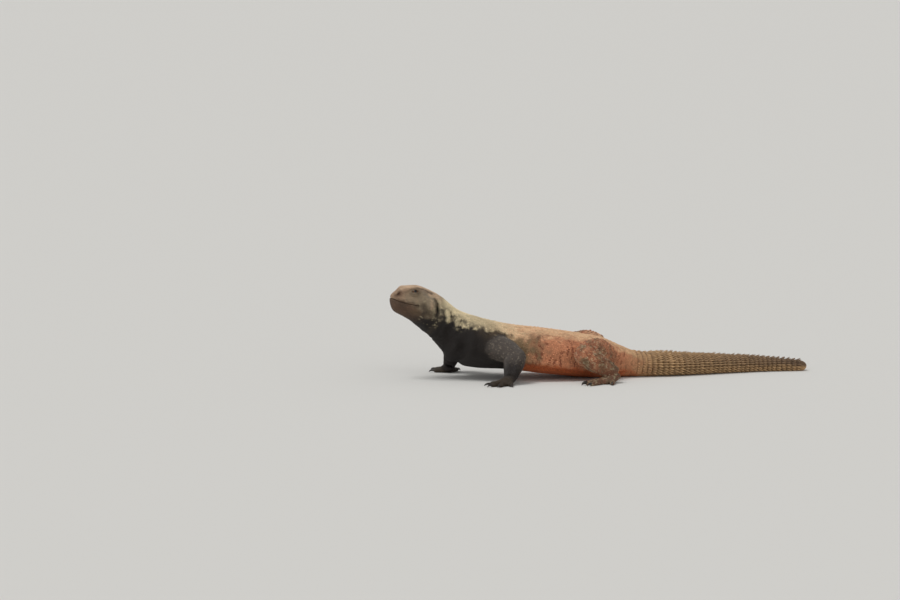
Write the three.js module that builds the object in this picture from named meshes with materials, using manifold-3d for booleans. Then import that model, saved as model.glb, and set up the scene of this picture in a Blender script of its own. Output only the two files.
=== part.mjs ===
// A life-size spiny-tailed lizard, propped on its forelegs with the head raised and the tail on the floor.
// Millimetres, +Z up, head towards -Y, the animal's left towards +X, floor at z = 0.
// The body is one loft along a bent axis, parted by thin cuts into head, neck, torso and four tail lengths.
// Each leg is a loft of its own, set against the body and parted at elbow or knee and at wrist or ankle.
import * as THREE from "three";
import { mergeVertices } from "three/addons/utils/BufferGeometryUtils.js";
import Module from "manifold-3d";

const wasm = await Module();
wasm.setup();

// Driving sizes: half widths, and heights above and below the axis, which runs level with the mouth
const GAP = 0.3;
const HEAD = { wide: 20, above: 20, below: 17 };
const TRUNK = { wide: 42, above: 26, below: 20 };
const TAIL = { wide: 21.5, above: 12.5, below: 12.5 };
const SNOUT_ROUND = 9;
const TIP_ROUND = 7;
const BODY_END = 455;

// Axis places from the snout to the tail's tip. at is the distance from the snout along the axis, back, rise
// and aside are the place, tilt is the slope of the section, and the rest are shares of a size above.
const STATIONS = [
  { at: 0, back: -161, rise: 84.4, aside: -4, tilt: -10, of: HEAD, wide: 0.42, above: 0.46, below: 0.65 },
  { at: 4, back: -157.1, rise: 83.5, aside: -3.7, tilt: -10, of: HEAD, wide: 0.5, above: 0.47, below: 0.75 },
  { at: 8, back: -153.2, rise: 82.5, aside: -3.4, tilt: -10, of: HEAD, wide: 0.57, above: 0.7, below: 0.78 },
  { at: 16, back: -145.4, rise: 80.5, aside: -2.8, tilt: -10, of: HEAD, wide: 0.67, above: 0.87, below: 0.89 },
  { at: 24, back: -137.5, rise: 78.5, aside: -2.1, tilt: -12, of: HEAD, wide: 0.75, above: 0.98, below: 1.02 },
  { at: 32, back: -129.7, rise: 76.5, aside: -1.5, tilt: -17, of: HEAD, wide: 0.88, above: 0.94, below: 1.2 },
  { at: 40, back: -122.3, rise: 73.8, aside: -1, tilt: -24, of: HEAD, wide: 1, above: 0.86, below: 1.3 },
  { at: 47, back: -116, rise: 70.2, aside: -0.5, tilt: -30, of: HEAD, wide: 0.99, above: 0.82, below: 1.36 },
  { at: 54, back: -110.3, rise: 65.8, aside: 0, tilt: -35, of: HEAD, wide: 0.94, above: 0.8, below: 1.33 },
  { at: 64, back: -102.5, rise: 59, aside: 0, tilt: -38, of: TRUNK, wide: 0.46, above: 0.63, below: 1.18 },
  { at: 75, back: -93.5, rise: 51.9, aside: 0, tilt: -36, of: TRUNK, wide: 0.53, above: 0.73, below: 1.3 },
  { at: 88, back: -83, rise: 44.6, aside: 0, tilt: -28, of: TRUNK, wide: 0.68, above: 0.85, below: 1.52 },
  { at: 106, back: -67, rise: 38, aside: 0, tilt: -18, of: TRUNK, wide: 0.83, above: 0.9, below: 1.37 },
  { at: 134, back: -40, rise: 30.5, aside: 1.5, tilt: -9, of: TRUNK, wide: 0.93, above: 0.96, below: 1.03 },
  { at: 170, back: -4, rise: 25, aside: 3, tilt: -6, of: TRUNK, wide: 1, above: 1, below: 0.98 },
  { at: 203, back: 29, rise: 21.5, aside: 2, tilt: -6, of: TRUNK, wide: 0.95, above: 0.94, below: 1 },
  { at: 231, back: 57, rise: 18.5, aside: 0, tilt: -7, of: TRUNK, wide: 0.77, above: 0.83, below: 0.96 },
  { at: 252, back: 78, rise: 14.5, aside: -1, tilt: -9, of: TAIL, wide: 1.16, above: 1.32, below: 1.22 },
  { at: 271, back: 97, rise: 11.8, aside: -2, tilt: -5, of: TAIL, wide: 1, above: 1, below: 1 },
  { at: 310, back: 136, rise: 10, aside: -6, tilt: -2, of: TAIL, wide: 0.91, above: 0.88, below: 0.87 },
  { at: 360, back: 185, rise: 8.3, aside: -17, tilt: -2, of: TAIL, wide: 0.72, above: 0.72, below: 0.72 },
  { at: 410, back: 234, rise: 6.6, aside: -25, tilt: -2, of: TAIL, wide: 0.51, above: 0.56, below: 0.58 },
  { at: BODY_END, back: 279, rise: 4.8, aside: -22, tilt: -1, of: TAIL, wide: 0.28, above: 0.38, below: 0.42 },
];

// Swellings, folds and hollows of the skin, alike on both sides. from and to are [distance from the snout,
// degrees from the middle of the back], reach is how wide each spreads and high how far it stands out.
const FORMS = {
  crown: { from: [16, 0], to: [34, 0], reach: 6, high: -1 },
  brow: { from: [16, 40], to: [30, 40], reach: 3, high: 1.9 },
  nostril_swell: { from: [7, 62], to: [7, 62], reach: 3, high: 0.9 },
  lore: { from: [14, 66], to: [14, 66], reach: 4, high: -1.1 },
  upper_lip: { from: [2, 84], to: [28, 80], reach: 2, high: 0.7 },
  lower_lip: { from: [2, 103], to: [28, 104], reach: 2.2, high: 0.7 },
  mouth_corner: { from: [31, 92], to: [31, 92], reach: 3, high: -0.9 },
  jowl: { from: [36, 92], to: [41, 84], reach: 7, high: 2 },
  temple: { from: [36, 48], to: [36, 48], reach: 5, high: -0.9 },
  ear_hollow: { from: [48, 64], to: [48, 82], reach: 4, high: -1.6 },
  chin_crease: { from: [20, 130], to: [44, 122], reach: 3.5, high: -0.9 },
  neck_fold: { from: [56, 60], to: [63, 112], reach: 3.4, high: 1.9 },
  second_fold: { from: [66, 50], to: [74, 104], reach: 3.4, high: 1.7 },
  throat_fold: { from: [84, 180], to: [79, 104], reach: 4, high: 2.2 },
  throat_groove: { from: [92, 180], to: [87, 112], reach: 4, high: -2 },
  arm_fold: { from: [84, 62], to: [95, 104], reach: 4, high: 2 },
  shoulder_blade: { from: [100, 52], to: [112, 56], reach: 12, high: 2.6 },
  armpit: { from: [130, 104], to: [130, 104], reach: 9, high: -2 },
  flank_fold: { from: [132, 104], to: [212, 110], reach: 5, high: 3 },
  under_fold: { from: [132, 124], to: [208, 130], reach: 6, high: -1.6 },
  hip_bone: { from: [226, 44], to: [236, 50], reach: 9, high: 1.8 },
  groin: { from: [208, 92], to: [208, 92], reach: 9, high: -2 },
};

const ROUNDNESS = 2.25;
const degrees = THREE.MathUtils.degToRad;

// The value at s of a smooth curve through the knots, whose slope at a knot is that of the two beside it.
function spline(knots, values, s) {
  const last = knots.length - 1;
  let i = 0;
  while (i < last - 1 && s > knots[i + 1]) i++;
  const slope = (k) => {
    const before = Math.max(k - 1, 0);
    const after = Math.min(k + 1, last);
    return (values[after] - values[before]) / (knots[after] - knots[before]);
  };
  const step = knots[i + 1] - knots[i];
  const t = THREE.MathUtils.clamp((s - knots[i]) / step, 0, 1);
  return (
    values[i] * (1 + 2 * t) * (1 - t) ** 2 +
    slope(i) * step * t * (1 - t) ** 2 +
    values[i + 1] * t * t * (3 - 2 * t) +
    slope(i + 1) * step * t * t * (t - 1)
  );
}

const TRACK = STATIONS.map((row) => row.at);

function along(s, value) {
  return spline(TRACK, STATIONS.map(value), s);
}

// 1 over most of the body, falling to 0 in a round curve at the snout and at the tail's tip.
function endRound(s) {
  const fromSnout = Math.min(s / SNOUT_ROUND, 1);
  const fromTip = Math.min((BODY_END - s) / TIP_ROUND, 1);
  return Math.sqrt(1 - (1 - fromSnout) ** 2) * Math.sqrt(1 - (1 - fromTip) ** 2);
}

function axisPoint(s) {
  return new THREE.Vector3(
    along(s, (row) => row.aside),
    along(s, (row) => row.back),
    along(s, (row) => row.rise),
  );
}

// The axis point, the directions to the left, up and back, and the half sizes of the section at s.
function section(s) {
  const bend = axisPoint(s + 1).sub(axisPoint(s - 1));
  const tilt = degrees(along(s, (row) => row.tilt));
  const level = new THREE.Vector3(bend.x, bend.y, 0).normalize();
  const back = level.clone().multiplyScalar(Math.cos(tilt)).setZ(Math.sin(tilt));
  const left = new THREE.Vector3().crossVectors(level, new THREE.Vector3(0, 0, 1));
  const up = new THREE.Vector3().crossVectors(left, back);
  return {
    centre: axisPoint(s),
    left,
    up,
    back,
    wide: along(s, (row) => row.of.wide * row.wide) * endRound(s),
    above: along(s, (row) => row.of.above * row.above) * endRound(s),
    below: along(s, (row) => row.of.below * row.below) * endRound(s),
  };
}

function distanceToLine(s, across, from, to) {
  const run = [to[0] - from[0], to[1] - from[1]];
  const length = run[0] ** 2 + run[1] ** 2;
  const share = length ? ((s - from[0]) * run[0] + (across - from[1]) * run[1]) / length : 0;
  const t = THREE.MathUtils.clamp(share, 0, 1);
  return Math.hypot(s - from[0] - t * run[0], across - from[1] - t * run[1]);
}

// How far the skin stands out at s and at an angle from the middle of the back.
function relief(s, angle, radius) {
  const turn = Math.abs(((((angle + 180) % 360) + 360) % 360) - 180);
  const perDegree = (radius * Math.PI) / 180;
  let sum = 0;
  for (const form of Object.values(FORMS)) {
    const from = [form.from[0], form.from[1] * perDegree];
    const to = [form.to[0], form.to[1] * perDegree];
    const away = distanceToLine(s, turn * perDegree, from, to);
    sum += form.high * Math.exp(-((away / form.reach) ** 2));
  }
  return sum * endRound(s);
}

const rounded = (v) => Math.sign(v) * Math.abs(v) ** (2 / ROUNDNESS);

// A point of the skin, its outward direction and the section that it is on. grow moves it outwards.
function skin(s, angle, grow = 0) {
  const cut = section(s);
  const a = degrees(angle);
  const height = Math.cos(a) >= 0 ? cut.above : cut.below;
  const out = cut.left
    .clone()
    .multiplyScalar(Math.sin(a) * height)
    .addScaledVector(cut.up, Math.cos(a) * cut.wide)
    .normalize();
  const radius = (cut.wide + (cut.above + cut.below) / 2) / 2;
  const point = cut.centre
    .clone()
    .addScaledVector(cut.left, rounded(Math.sin(a)) * cut.wide)
    .addScaledVector(cut.up, rounded(Math.cos(a)) * height)
    .addScaledVector(out, relief(s, angle, radius) + grow);
  return { point, out, cut };
}

// A closed skin over rings with equal counts of points, with a flat fan over each end.
function loft(rings) {
  const count = rings[0].length;
  const centreOf = (ring) =>
    ring.reduce((sum, p) => sum.add(p), new THREE.Vector3()).divideScalar(count);
  const points = [...rings.flat(), centreOf(rings[0]), centreOf(rings.at(-1))];
  const first = points.length - 2;
  const last = points.length - 1;
  const end = (rings.length - 1) * count;
  const faces = [];
  for (let j = 0; j < count; j++) {
    const next = (j + 1) % count;
    faces.push(first, next, j, last, end + j, end + next);
    for (let i = 0; i < end; i += count) {
      faces.push(i + j, i + next, i + count + j);
      faces.push(i + next, i + count + next, i + count + j);
    }
  }
  return new THREE.BufferGeometry().setFromPoints(points).setIndex(faces);
}

function solid(geometry) {
  const bare = geometry.clone();
  bare.deleteAttribute("normal");
  bare.deleteAttribute("uv");
  const merged = mergeVertices(bare, 1e-4);
  return new wasm.Manifold(
    new wasm.Mesh({
      numProp: 3,
      vertProperties: new Float32Array(merged.attributes.position.array),
      triVerts: new Uint32Array(merged.index.array),
    }),
  );
}

function geometry(shape) {
  const made = shape.getMesh();
  const places = new Float32Array(made.numVert * 3);
  for (let i = 0; i < made.numVert; i++) {
    places.set(made.vertProperties.subarray(i * made.numProp, i * made.numProp + 3), i * 3);
  }
  return new THREE.BufferGeometry()
    .setAttribute("position", new THREE.BufferAttribute(places, 3))
    .setIndex(new THREE.BufferAttribute(new Uint32Array(made.triVerts), 1));
}

const joined = (shapes) => shapes.reduce((sum, shape) => sum.add(shape));

// The largest closed surface of a shape, which drops loose scraps and sealed hollows.
function largest(shape) {
  return shape
    .decompose()
    .filter((piece) => piece.volume() > 0)
    .reduce((best, piece) => (piece.volume() > best.volume() ? piece : best));
}

const floor = solid(new THREE.BoxGeometry(600, 900, 100).translate(0, 60, -50));

function spread(from, to, count) {
  return Array.from({ length: count + 1 }, (_, i) => from + ((to - from) * i) / count);
}

function bodyRings(stops, sides, grow = 0) {
  return stops.map((s) => spread(0, 360, sides).slice(0, -1).map((angle) => skin(s, angle, grow).point));
}

const bodyLength = (stops, sides, grow) => solid(loft(bodyRings(stops, sides, grow)));

// Where the body is parted, as distances from the snout
const HEAD_END = 53;
const NECK_END = 90;
const TORSO_END = 264;
const TAIL_CUTS = [TORSO_END, 309.8, 355.4, 401, BODY_END];

const NOSE_STOPS = [0.15, 0.7, 1.6, 2.8, 4.4, 6.4];
const TIP_STOPS = [450, 452.5, 454, 454.9];
const headStops = [...NOSE_STOPS, ...spread(8.6, HEAD_END, 17)];
const neckStops = spread(HEAD_END + GAP, NECK_END, 8);
const torsoStops = spread(NECK_END + GAP, TORSO_END, 18);

// Rotation that takes +Y to one direction, with +Z as near to another as it can be.
function aimed(direction, above) {
  const y = direction.clone().normalize();
  const x = new THREE.Vector3().crossVectors(y, above).normalize();
  const z = new THREE.Vector3().crossVectors(x, y);
  return new THREE.Matrix4().makeBasis(x, y, z);
}

// A unit shape scaled, turned to stand out along a direction and moved to a place.
function placed(shape, size, direction, above, place) {
  const matrix = aimed(direction, above).setPosition(place);
  return solid(shape.clone().scale(...size).applyMatrix4(matrix));
}

// Head
const EYE = { at: 23.2, angle: 52, radius: 4.4, sunk: 2.6, opening: [4, 2.2] };
const LID = 1;
const EAR = { at: 48.2, angle: 71, wide: 2, tall: 5.2, deep: 2.8, lobules: 4 };
const NOSTRIL = { at: 6.6, angle: 63, wide: 1.1, tall: 0.9, deep: 1.6 };
const MOUTH = { corner: 30, open: 0.7, deep: 1.2, sag: 0.4 };

const UNIT_BALL = new THREE.SphereGeometry(1, 10, 6);
const EYE_BALL = new THREE.SphereGeometry(1, 12, 8);
const UNIT_POST = new THREE.CylinderGeometry(1, 1, 2, 12);

function eyeCentre(side) {
  const lid = skin(EYE.at, EYE.angle * side);
  return lid.point.addScaledVector(lid.out, -EYE.sunk);
}

// A bulging lid over the eye with an almond slit cut through it, and the socket behind.
function withEye(head, side) {
  const { out, cut } = skin(EYE.at, EYE.angle * side);
  const centre = eyeCentre(side);
  const around = (radius) => placed(EYE_BALL, [radius, radius, radius], out, cut.up, centre);
  const slitPlace = centre.clone().addScaledVector(out, EYE.radius);
  const slit = placed(UNIT_POST, [EYE.opening[0], EYE.radius / 2, EYE.opening[1]], out, cut.up, slitPlace);
  return head
    .add(around(EYE.radius + GAP + LID))
    .subtract(around(EYE.radius + GAP))
    .subtract(slit);
}

// An upright cup for the ear with pointed scales along its front edge.
function withEar(head, side) {
  const { point, out, cut } = skin(EAR.at, EAR.angle * side);
  const cup = placed(UNIT_BALL, [EAR.wide, EAR.deep, EAR.tall], out, cut.up, point);
  const lobules = spread(-0.7, 0.7, EAR.lobules - 1).map((share) => {
    const root = point
      .clone()
      .addScaledVector(cut.back, -EAR.wide - 0.6)
      .addScaledVector(cut.up, share * EAR.tall)
      .addScaledVector(out, -0.4);
    const lean = cut.back.clone().multiplyScalar(1.4).add(out);
    return placed(new THREE.ConeGeometry(0.9, 3.2, 5), [1, 1, 1], lean, cut.up, root);
  });
  return joined([head.subtract(cup), ...lobules]);
}

function withNostril(head, side) {
  const { point, out, cut } = skin(NOSTRIL.at, NOSTRIL.angle * side);
  return head.subtract(placed(UNIT_BALL, [NOSTRIL.wide, NOSTRIL.deep, NOSTRIL.tall], out, cut.up, point));
}

// A thin sheet along the mouth, from in front of the snout to the corner, cut into the skin only.
function withMouth(head) {
  const core = bodyLength([2, 4, 7, ...spread(10, HEAD_END, 8)], 20, -MOUTH.deep);
  const middle = spread(-3, MOUTH.corner, 8).map((s) => {
    const { centre, up } = section(Math.max(s, 0));
    const ahead = Math.min(s, 0);
    const wave = MOUTH.sag * Math.cos((s / MOUTH.corner) * 2 * Math.PI) - MOUTH.sag;
    return centre.clone().addScaledVector(up, wave).add(new THREE.Vector3(0, ahead, 0));
  });
  const half = MOUTH.open / 2;
  const outline = [
    ...middle.map((p) => new THREE.Vector2(p.y, p.z + half)),
    ...middle.reverse().map((p) => new THREE.Vector2(p.y, p.z - half)),
  ];
  const sheet = new THREE.ExtrudeGeometry(new THREE.Shape(outline), { depth: 60, bevelEnabled: false });
  sheet.translate(0, 0, -30).applyMatrix4(
    new THREE.Matrix4().makeBasis(
      new THREE.Vector3(0, 1, 0),
      new THREE.Vector3(0, 0, 1),
      new THREE.Vector3(1, 0, 0),
    ),
  );
  return head.subtract(solid(sheet).subtract(core));
}

function makeHead() {
  let head = withMouth(bodyLength(headStops, 32));
  for (const side of [1, -1]) {
    head = withNostril(withEar(withEye(head, side), side), side);
  }
  return largest(head);
}

// Tail
const WHORL = { first: 270, last: 446, pitch: 8.8, width: 6.4, lowest: 112, lean: 50, sunk: 1.5 };
const SPINE = { atRoot: 8, atTip: 5, sideways: 1.2 };

// The spines of one ring, largest along the sides of the tail, pointing back and out.
function whorlSpines(s) {
  const share = (s - WHORL.first) / (WHORL.last - WHORL.first);
  const { wide, above } = section(s);
  const girth = ((wide + above) / 2) * degrees(2 * WHORL.lowest);
  const count = Math.max(5, Math.round(girth / (WHORL.width * (1 - 0.25 * share))));
  const reach = THREE.MathUtils.lerp(SPINE.atRoot, SPINE.atTip, share);
  return spread(-WHORL.lowest, WHORL.lowest, count - 1).map((angle) => {
    const { point, out, cut } = skin(s, angle);
    const length = reach * THREE.MathUtils.lerp(1, SPINE.sideways, Math.abs(Math.sin(degrees(angle))));
    const lean = degrees(WHORL.lean);
    const direction = out.clone().multiplyScalar(Math.cos(lean)).addScaledVector(cut.back, Math.sin(lean));
    const half = length / 2;
    const place = point.clone().addScaledVector(out, -WHORL.sunk).addScaledVector(direction, half);
    const across = (girth / count) * 0.52;
    return placed(new THREE.ConeGeometry(1, 2, 3), [across, half, across * 0.9], direction, out, place);
  });
}

// A block that covers everything past the section at s, ahead of it or behind it.
function beyond(s, way) {
  const { centre, back, up } = section(s);
  const away = centre.clone().addScaledVector(back, 50 * way);
  return placed(new THREE.BoxGeometry(1, 1, 1), [120, 100, 120], back, up, away);
}

function tailLength(index) {
  const from = TAIL_CUTS[index] + GAP;
  const to = TAIL_CUTS[index + 1];
  const isTip = to === BODY_END;
  const stops = isTip ? [...spread(from, 447, 4), ...TIP_STOPS] : spread(from, to, 5);
  const rings = spread(WHORL.first, WHORL.last, Math.round((WHORL.last - WHORL.first) / WHORL.pitch));
  const spines = rings.filter((s) => s > from && s < to).flatMap(whorlSpines);
  const whole = joined([bodyLength(stops, 16), ...spines]).subtract(beyond(from, -1)).subtract(floor);
  return largest(isTip ? whole : whole.subtract(beyond(to, 1)));
}

// Legs
const FORE = {
  upper: { at: [0, 0.45, 1], flat: [12.5, 13.2, 9.8], deep: [14, 13.4, 10.2] },
  lower: { at: [0, 0.35, 1], flat: [9.8, 10, 6], deep: [10.2, 10.4, 6.4] },
  palm: { length: 15, wide: 8.4, high: 4 },
  digits: [
    { length: 8, spread: 58, from: 0.35 },
    { length: 11, spread: 28, from: 0.8 },
    { length: 12.5, spread: 2, from: 0.95 },
    { length: 11.5, spread: -24, from: 0.85 },
    { length: 8.5, spread: -54, from: 0.45 },
  ],
  thick: 2.5,
  claw: 6,
};
const HIND = {
  upper: { at: [0, 0.45, 1], flat: [15, 15.5, 10], deep: [16, 15, 10.5] },
  lower: { at: [0, 0.35, 1], flat: [10, 10.8, 6.4], deep: [10.5, 11, 6.6] },
  palm: { length: 22, wide: 8.6, high: 4.4 },
  digits: [
    { length: 9, spread: 44, from: 0.55 },
    { length: 13, spread: 20, from: 0.85 },
    { length: 16, spread: 2, from: 1 },
    { length: 18.5, spread: -15, from: 0.95 },
    { length: 12, spread: -48, from: 0.4 },
  ],
  thick: 2.6,
  claw: 6.2,
};

// Joints of each leg and the way its toes point. The first toe is on the side of the body.
const LEGS = {
  fore_left: {
    kind: FORE, side: 1, root: [15, -67, 35.5], elbow: [50, -38, 26], wrist: [67, -46, 7.5], toes: [0.6, -0.8],
  },
  fore_right: {
    kind: FORE, side: -1, root: [-15, -67, 35.5], elbow: [-53, -85, 31.5], wrist: [-50, -93, 8.5],
    toes: [-0.98, -0.2],
  },
  hind_left: {
    kind: HIND, side: 1, root: [14, 60, 20], elbow: [60, 32, 28], wrist: [62, 64, 9], toes: [0.5, -0.87],
  },
  hind_right: {
    kind: HIND, side: -1, root: [-14, 60, 20], elbow: [-58, 42, 29], wrist: [-62, 75, 9],
    toes: [-0.66, -0.75],
  },
};
const NAMES = {
  fore_left: ["upper_arm_left", "forearm_left", "hand_left"],
  fore_right: ["upper_arm_right", "forearm_right", "hand_right"],
  hind_left: ["thigh_left", "shank_left", "foot_left"],
  hind_right: ["thigh_right", "shank_right", "foot_right"],
};

// A tube along a curve whose sections lie flat to one direction.
function tube(curve, stops, flatTo, sizes, sides, grow = 0) {
  const rings = stops.map((u) => {
    const tangent = curve.getTangentAt(THREE.MathUtils.clamp(u, 0, 1));
    const across = new THREE.Vector3().crossVectors(tangent, flatTo).normalize();
    const normal = new THREE.Vector3().crossVectors(across, tangent);
    const flat = spline(sizes.at, sizes.flat, u) + grow;
    const deep = spline(sizes.at, sizes.deep, u) + grow;
    return spread(0, 2 * Math.PI, sides)
      .slice(0, -1)
      .map((a) =>
        curve
          .getPointAt(THREE.MathUtils.clamp(u, 0, 1))
          .addScaledVector(normal, Math.cos(a) * flat)
          .addScaledVector(across, Math.sin(a) * deep),
      );
  });
  return solid(loft(rings));
}

// The curves of the upper and lower leg, with the direction across the plane that they bend in.
function legLines({ root, elbow, wrist }) {
  const [r, e, w] = [root, elbow, wrist].map((p) => new THREE.Vector3(...p));
  const curve = (a, b, bow) =>
    new THREE.CatmullRomCurve3([a, a.clone().lerp(b, 0.5).add(new THREE.Vector3(0, 0, bow)), b]);
  const first = e.clone().sub(r).normalize();
  const second = w.clone().sub(e).normalize();
  return {
    upper: curve(r, e, 4),
    lower: curve(e, w, 0.5),
    elbow: e,
    halfway: first.clone().add(second).normalize(),
    flatTo: first.clone().cross(second).normalize(),
  };
}

// One toe bent over its knuckle, with a hooked claw.
function digit(root, heading, length, thick, claw) {
  const at = (ahead, height) => root.clone().addScaledVector(heading, ahead).setZ(height);
  const bones = [at(-3, root.z), at(length * 0.45, thick * 0.95), at(length, thick * 0.5)];
  const toe = { at: [0, 0.5, 0.85, 1], flat: [thick, thick * 0.95, thick * 0.85, thick * 0.6] };
  const hook = [at(length - 1.5, thick * 0.8), at(length + claw * 0.5, thick * 0.95), at(length + claw, 0.5)];
  const nail = { at: [0, 0.5, 1], flat: [1.7, 1.15, 0.35] };
  const up = new THREE.Vector3(0, 0, 1);
  const run = (points, sizes, stops, sides) =>
    tube(new THREE.CatmullRomCurve3(points), stops, up, { ...sizes, deep: sizes.flat }, sides);
  return run(bones, toe, spread(0, 1, 3), 6).add(run(hook, nail, spread(0, 1, 2), 4));
}

function makeHand({ kind, side, wrist, toes }) {
  const ankle = new THREE.Vector3(...wrist);
  const heading = new THREE.Vector3(toes[0], toes[1], 0).normalize();
  const outer = new THREE.Vector3(-heading.y, heading.x, 0);
  const { length, wide, high } = kind.palm;
  const at = (ahead, height) => ankle.clone().addScaledVector(heading, ahead).setZ(height);
  const stops = [at(-1, ankle.z), at(length * 0.4, high), at(length, high * 0.55)];
  const palmLine = new THREE.CatmullRomCurve3(stops);
  const palmSizes = {
    at: [0, 0.35, 0.75, 1],
    flat: [high * 1.2, high * 1.1, high * 0.85, high * 0.5],
    deep: [wide * 0.66, wide * 0.85, wide, wide * 0.7],
  };
  const palm = tube(palmLine, spread(0, 1, 4), new THREE.Vector3(0, 0, 1), palmSizes, 10);
  const last = kind.digits.length - 1;
  const fingers = kind.digits.map((toe, i) => {
    const away = (i / last) * 2 - 1;
    const root = at(length * toe.from, high * 0.7).addScaledVector(outer, side * away * wide * 0.72);
    const turned = heading.clone().applyAxisAngle(new THREE.Vector3(0, 0, 1), degrees(toe.spread * -side));
    return digit(root, turned, toe.length, kind.thick, kind.claw);
  });
  return joined([palm, ...fingers]);
}

const bodyCore = bodyLength([...neckStops, ...torsoStops, TORSO_END + 10], 32, GAP);

// A leg in one piece, then parted through the elbow or knee and at the wrist or ankle.
function makeLeg(name) {
  const leg = LEGS[name];
  const { upper, lower } = leg.kind;
  const { flatTo, elbow, halfway, ...lines } = legLines(leg);
  const stops = spread(0, 1, 5);
  const shank = (grow) => tube(lines.lower, stops, flatTo, lower, 12, grow);
  const joint = upper.deep.at(-1);
  const ball = placed(EYE_BALL, [joint, joint, joint], halfway, flatTo, elbow);
  const whole = joined([tube(lines.upper, stops, flatTo, upper, 12), ball, shank(0)]).subtract(bodyCore);
  const halfSpace = (way, gap) => {
    const place = elbow.clone().addScaledVector(halfway, way * (60 + gap));
    return placed(new THREE.BoxGeometry(1, 1, 1), [160, 120, 160], halfway, flatTo, place);
  };
  const [upperName, lowerName, handName] = NAMES[name];
  return {
    [upperName]: whole.subtract(halfSpace(1, 0)),
    [lowerName]: whole.subtract(halfSpace(-1, -GAP)),
    [handName]: makeHand(leg).subtract(shank(GAP)),
  };
}

// Colours seen on the animal
const COLOURS = {
  head: 0x8c7358,
  neck: 0x6e6a50,
  torso: 0xc08a66,
  tail: 0x8f7a60,
  arm: 0x3a3c42,
  leg: 0x8a6a50,
  eye: 0x1c1410,
};

const lizard = new THREE.Group();

function addNode(name, shape, colour, roughness = 0.8) {
  const material = new THREE.MeshStandardMaterial({ color: colour, roughness, metalness: 0 });
  const mesh = new THREE.Mesh(geometry(shape), material);
  mesh.name = name;
  lizard.add(mesh);
}

addNode("head", makeHead(), COLOURS.head);
addNode("neck", bodyLength(neckStops, 32), COLOURS.neck);
addNode("torso", largest(bodyLength(torsoStops, 32).subtract(floor)), COLOURS.torso);
["tail_root", "tail_middle", "tail_rear", "tail_tip"].forEach((name, index) => {
  addNode(name, tailLength(index), COLOURS.tail);
});
for (const [name, side] of [["eye_left", 1], ["eye_right", -1]]) {
  const { out, cut } = skin(EYE.at, EYE.angle * side);
  const size = [EYE.radius, EYE.radius, EYE.radius];
  addNode(name, placed(EYE_BALL, size, out, cut.up, eyeCentre(side)), COLOURS.eye, 0.2);
}
for (const name of Object.keys(LEGS)) {
  const colour = LEGS[name].kind === FORE ? COLOURS.arm : COLOURS.leg;
  for (const [node, shape] of Object.entries(makeLeg(name))) {
    addNode(node, largest(shape.subtract(floor)), colour);
  }
}

// The origin is on the floor, under the middle of the whole animal.
const box = new THREE.Box3().setFromObject(lizard);
const middle = box.getCenter(new THREE.Vector3());
lizard.position.set(-middle.x, -middle.y, -box.min.z);

export default lizard;
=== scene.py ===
# A life-size spiny-tailed lizard: one skin with its folds, lids and markings, and the scales, spines,
# claws and eyes that stand on it. Lengths are in millimetres up to the last step, which makes metres.
import itertools
import math

import bmesh
import bpy
import numpy as np
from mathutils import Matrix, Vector
from mathutils.bvhtree import BVHTree
from mathutils.kdtree import KDTree


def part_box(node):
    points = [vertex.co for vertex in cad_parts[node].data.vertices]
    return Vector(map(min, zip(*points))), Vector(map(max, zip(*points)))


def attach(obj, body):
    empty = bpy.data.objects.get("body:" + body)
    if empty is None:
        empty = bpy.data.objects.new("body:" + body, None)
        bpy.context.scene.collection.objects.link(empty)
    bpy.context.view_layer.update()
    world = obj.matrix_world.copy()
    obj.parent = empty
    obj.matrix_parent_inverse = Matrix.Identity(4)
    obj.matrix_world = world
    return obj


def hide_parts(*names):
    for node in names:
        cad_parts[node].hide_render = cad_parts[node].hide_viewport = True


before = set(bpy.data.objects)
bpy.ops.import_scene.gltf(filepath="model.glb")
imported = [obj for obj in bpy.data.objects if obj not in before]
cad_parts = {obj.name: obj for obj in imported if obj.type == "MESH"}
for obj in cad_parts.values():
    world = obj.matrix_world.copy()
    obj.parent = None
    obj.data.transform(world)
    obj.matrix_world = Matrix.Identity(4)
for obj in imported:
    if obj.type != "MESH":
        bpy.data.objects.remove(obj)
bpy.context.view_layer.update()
rng = np.random.default_rng(11)
MM = 0.001

# Driving sizes: half width, height above and height below the axis, which runs level with the mouth
HEAD = (20, 20, 17)
TRUNK = (42, 26, 20)
TAIL = (21.5, 12.5, 12.5)
SNOUT_ROUND = 9
TIP_ROUND = 7
BODY_END = 455
ROUNDNESS = 2.25

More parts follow.
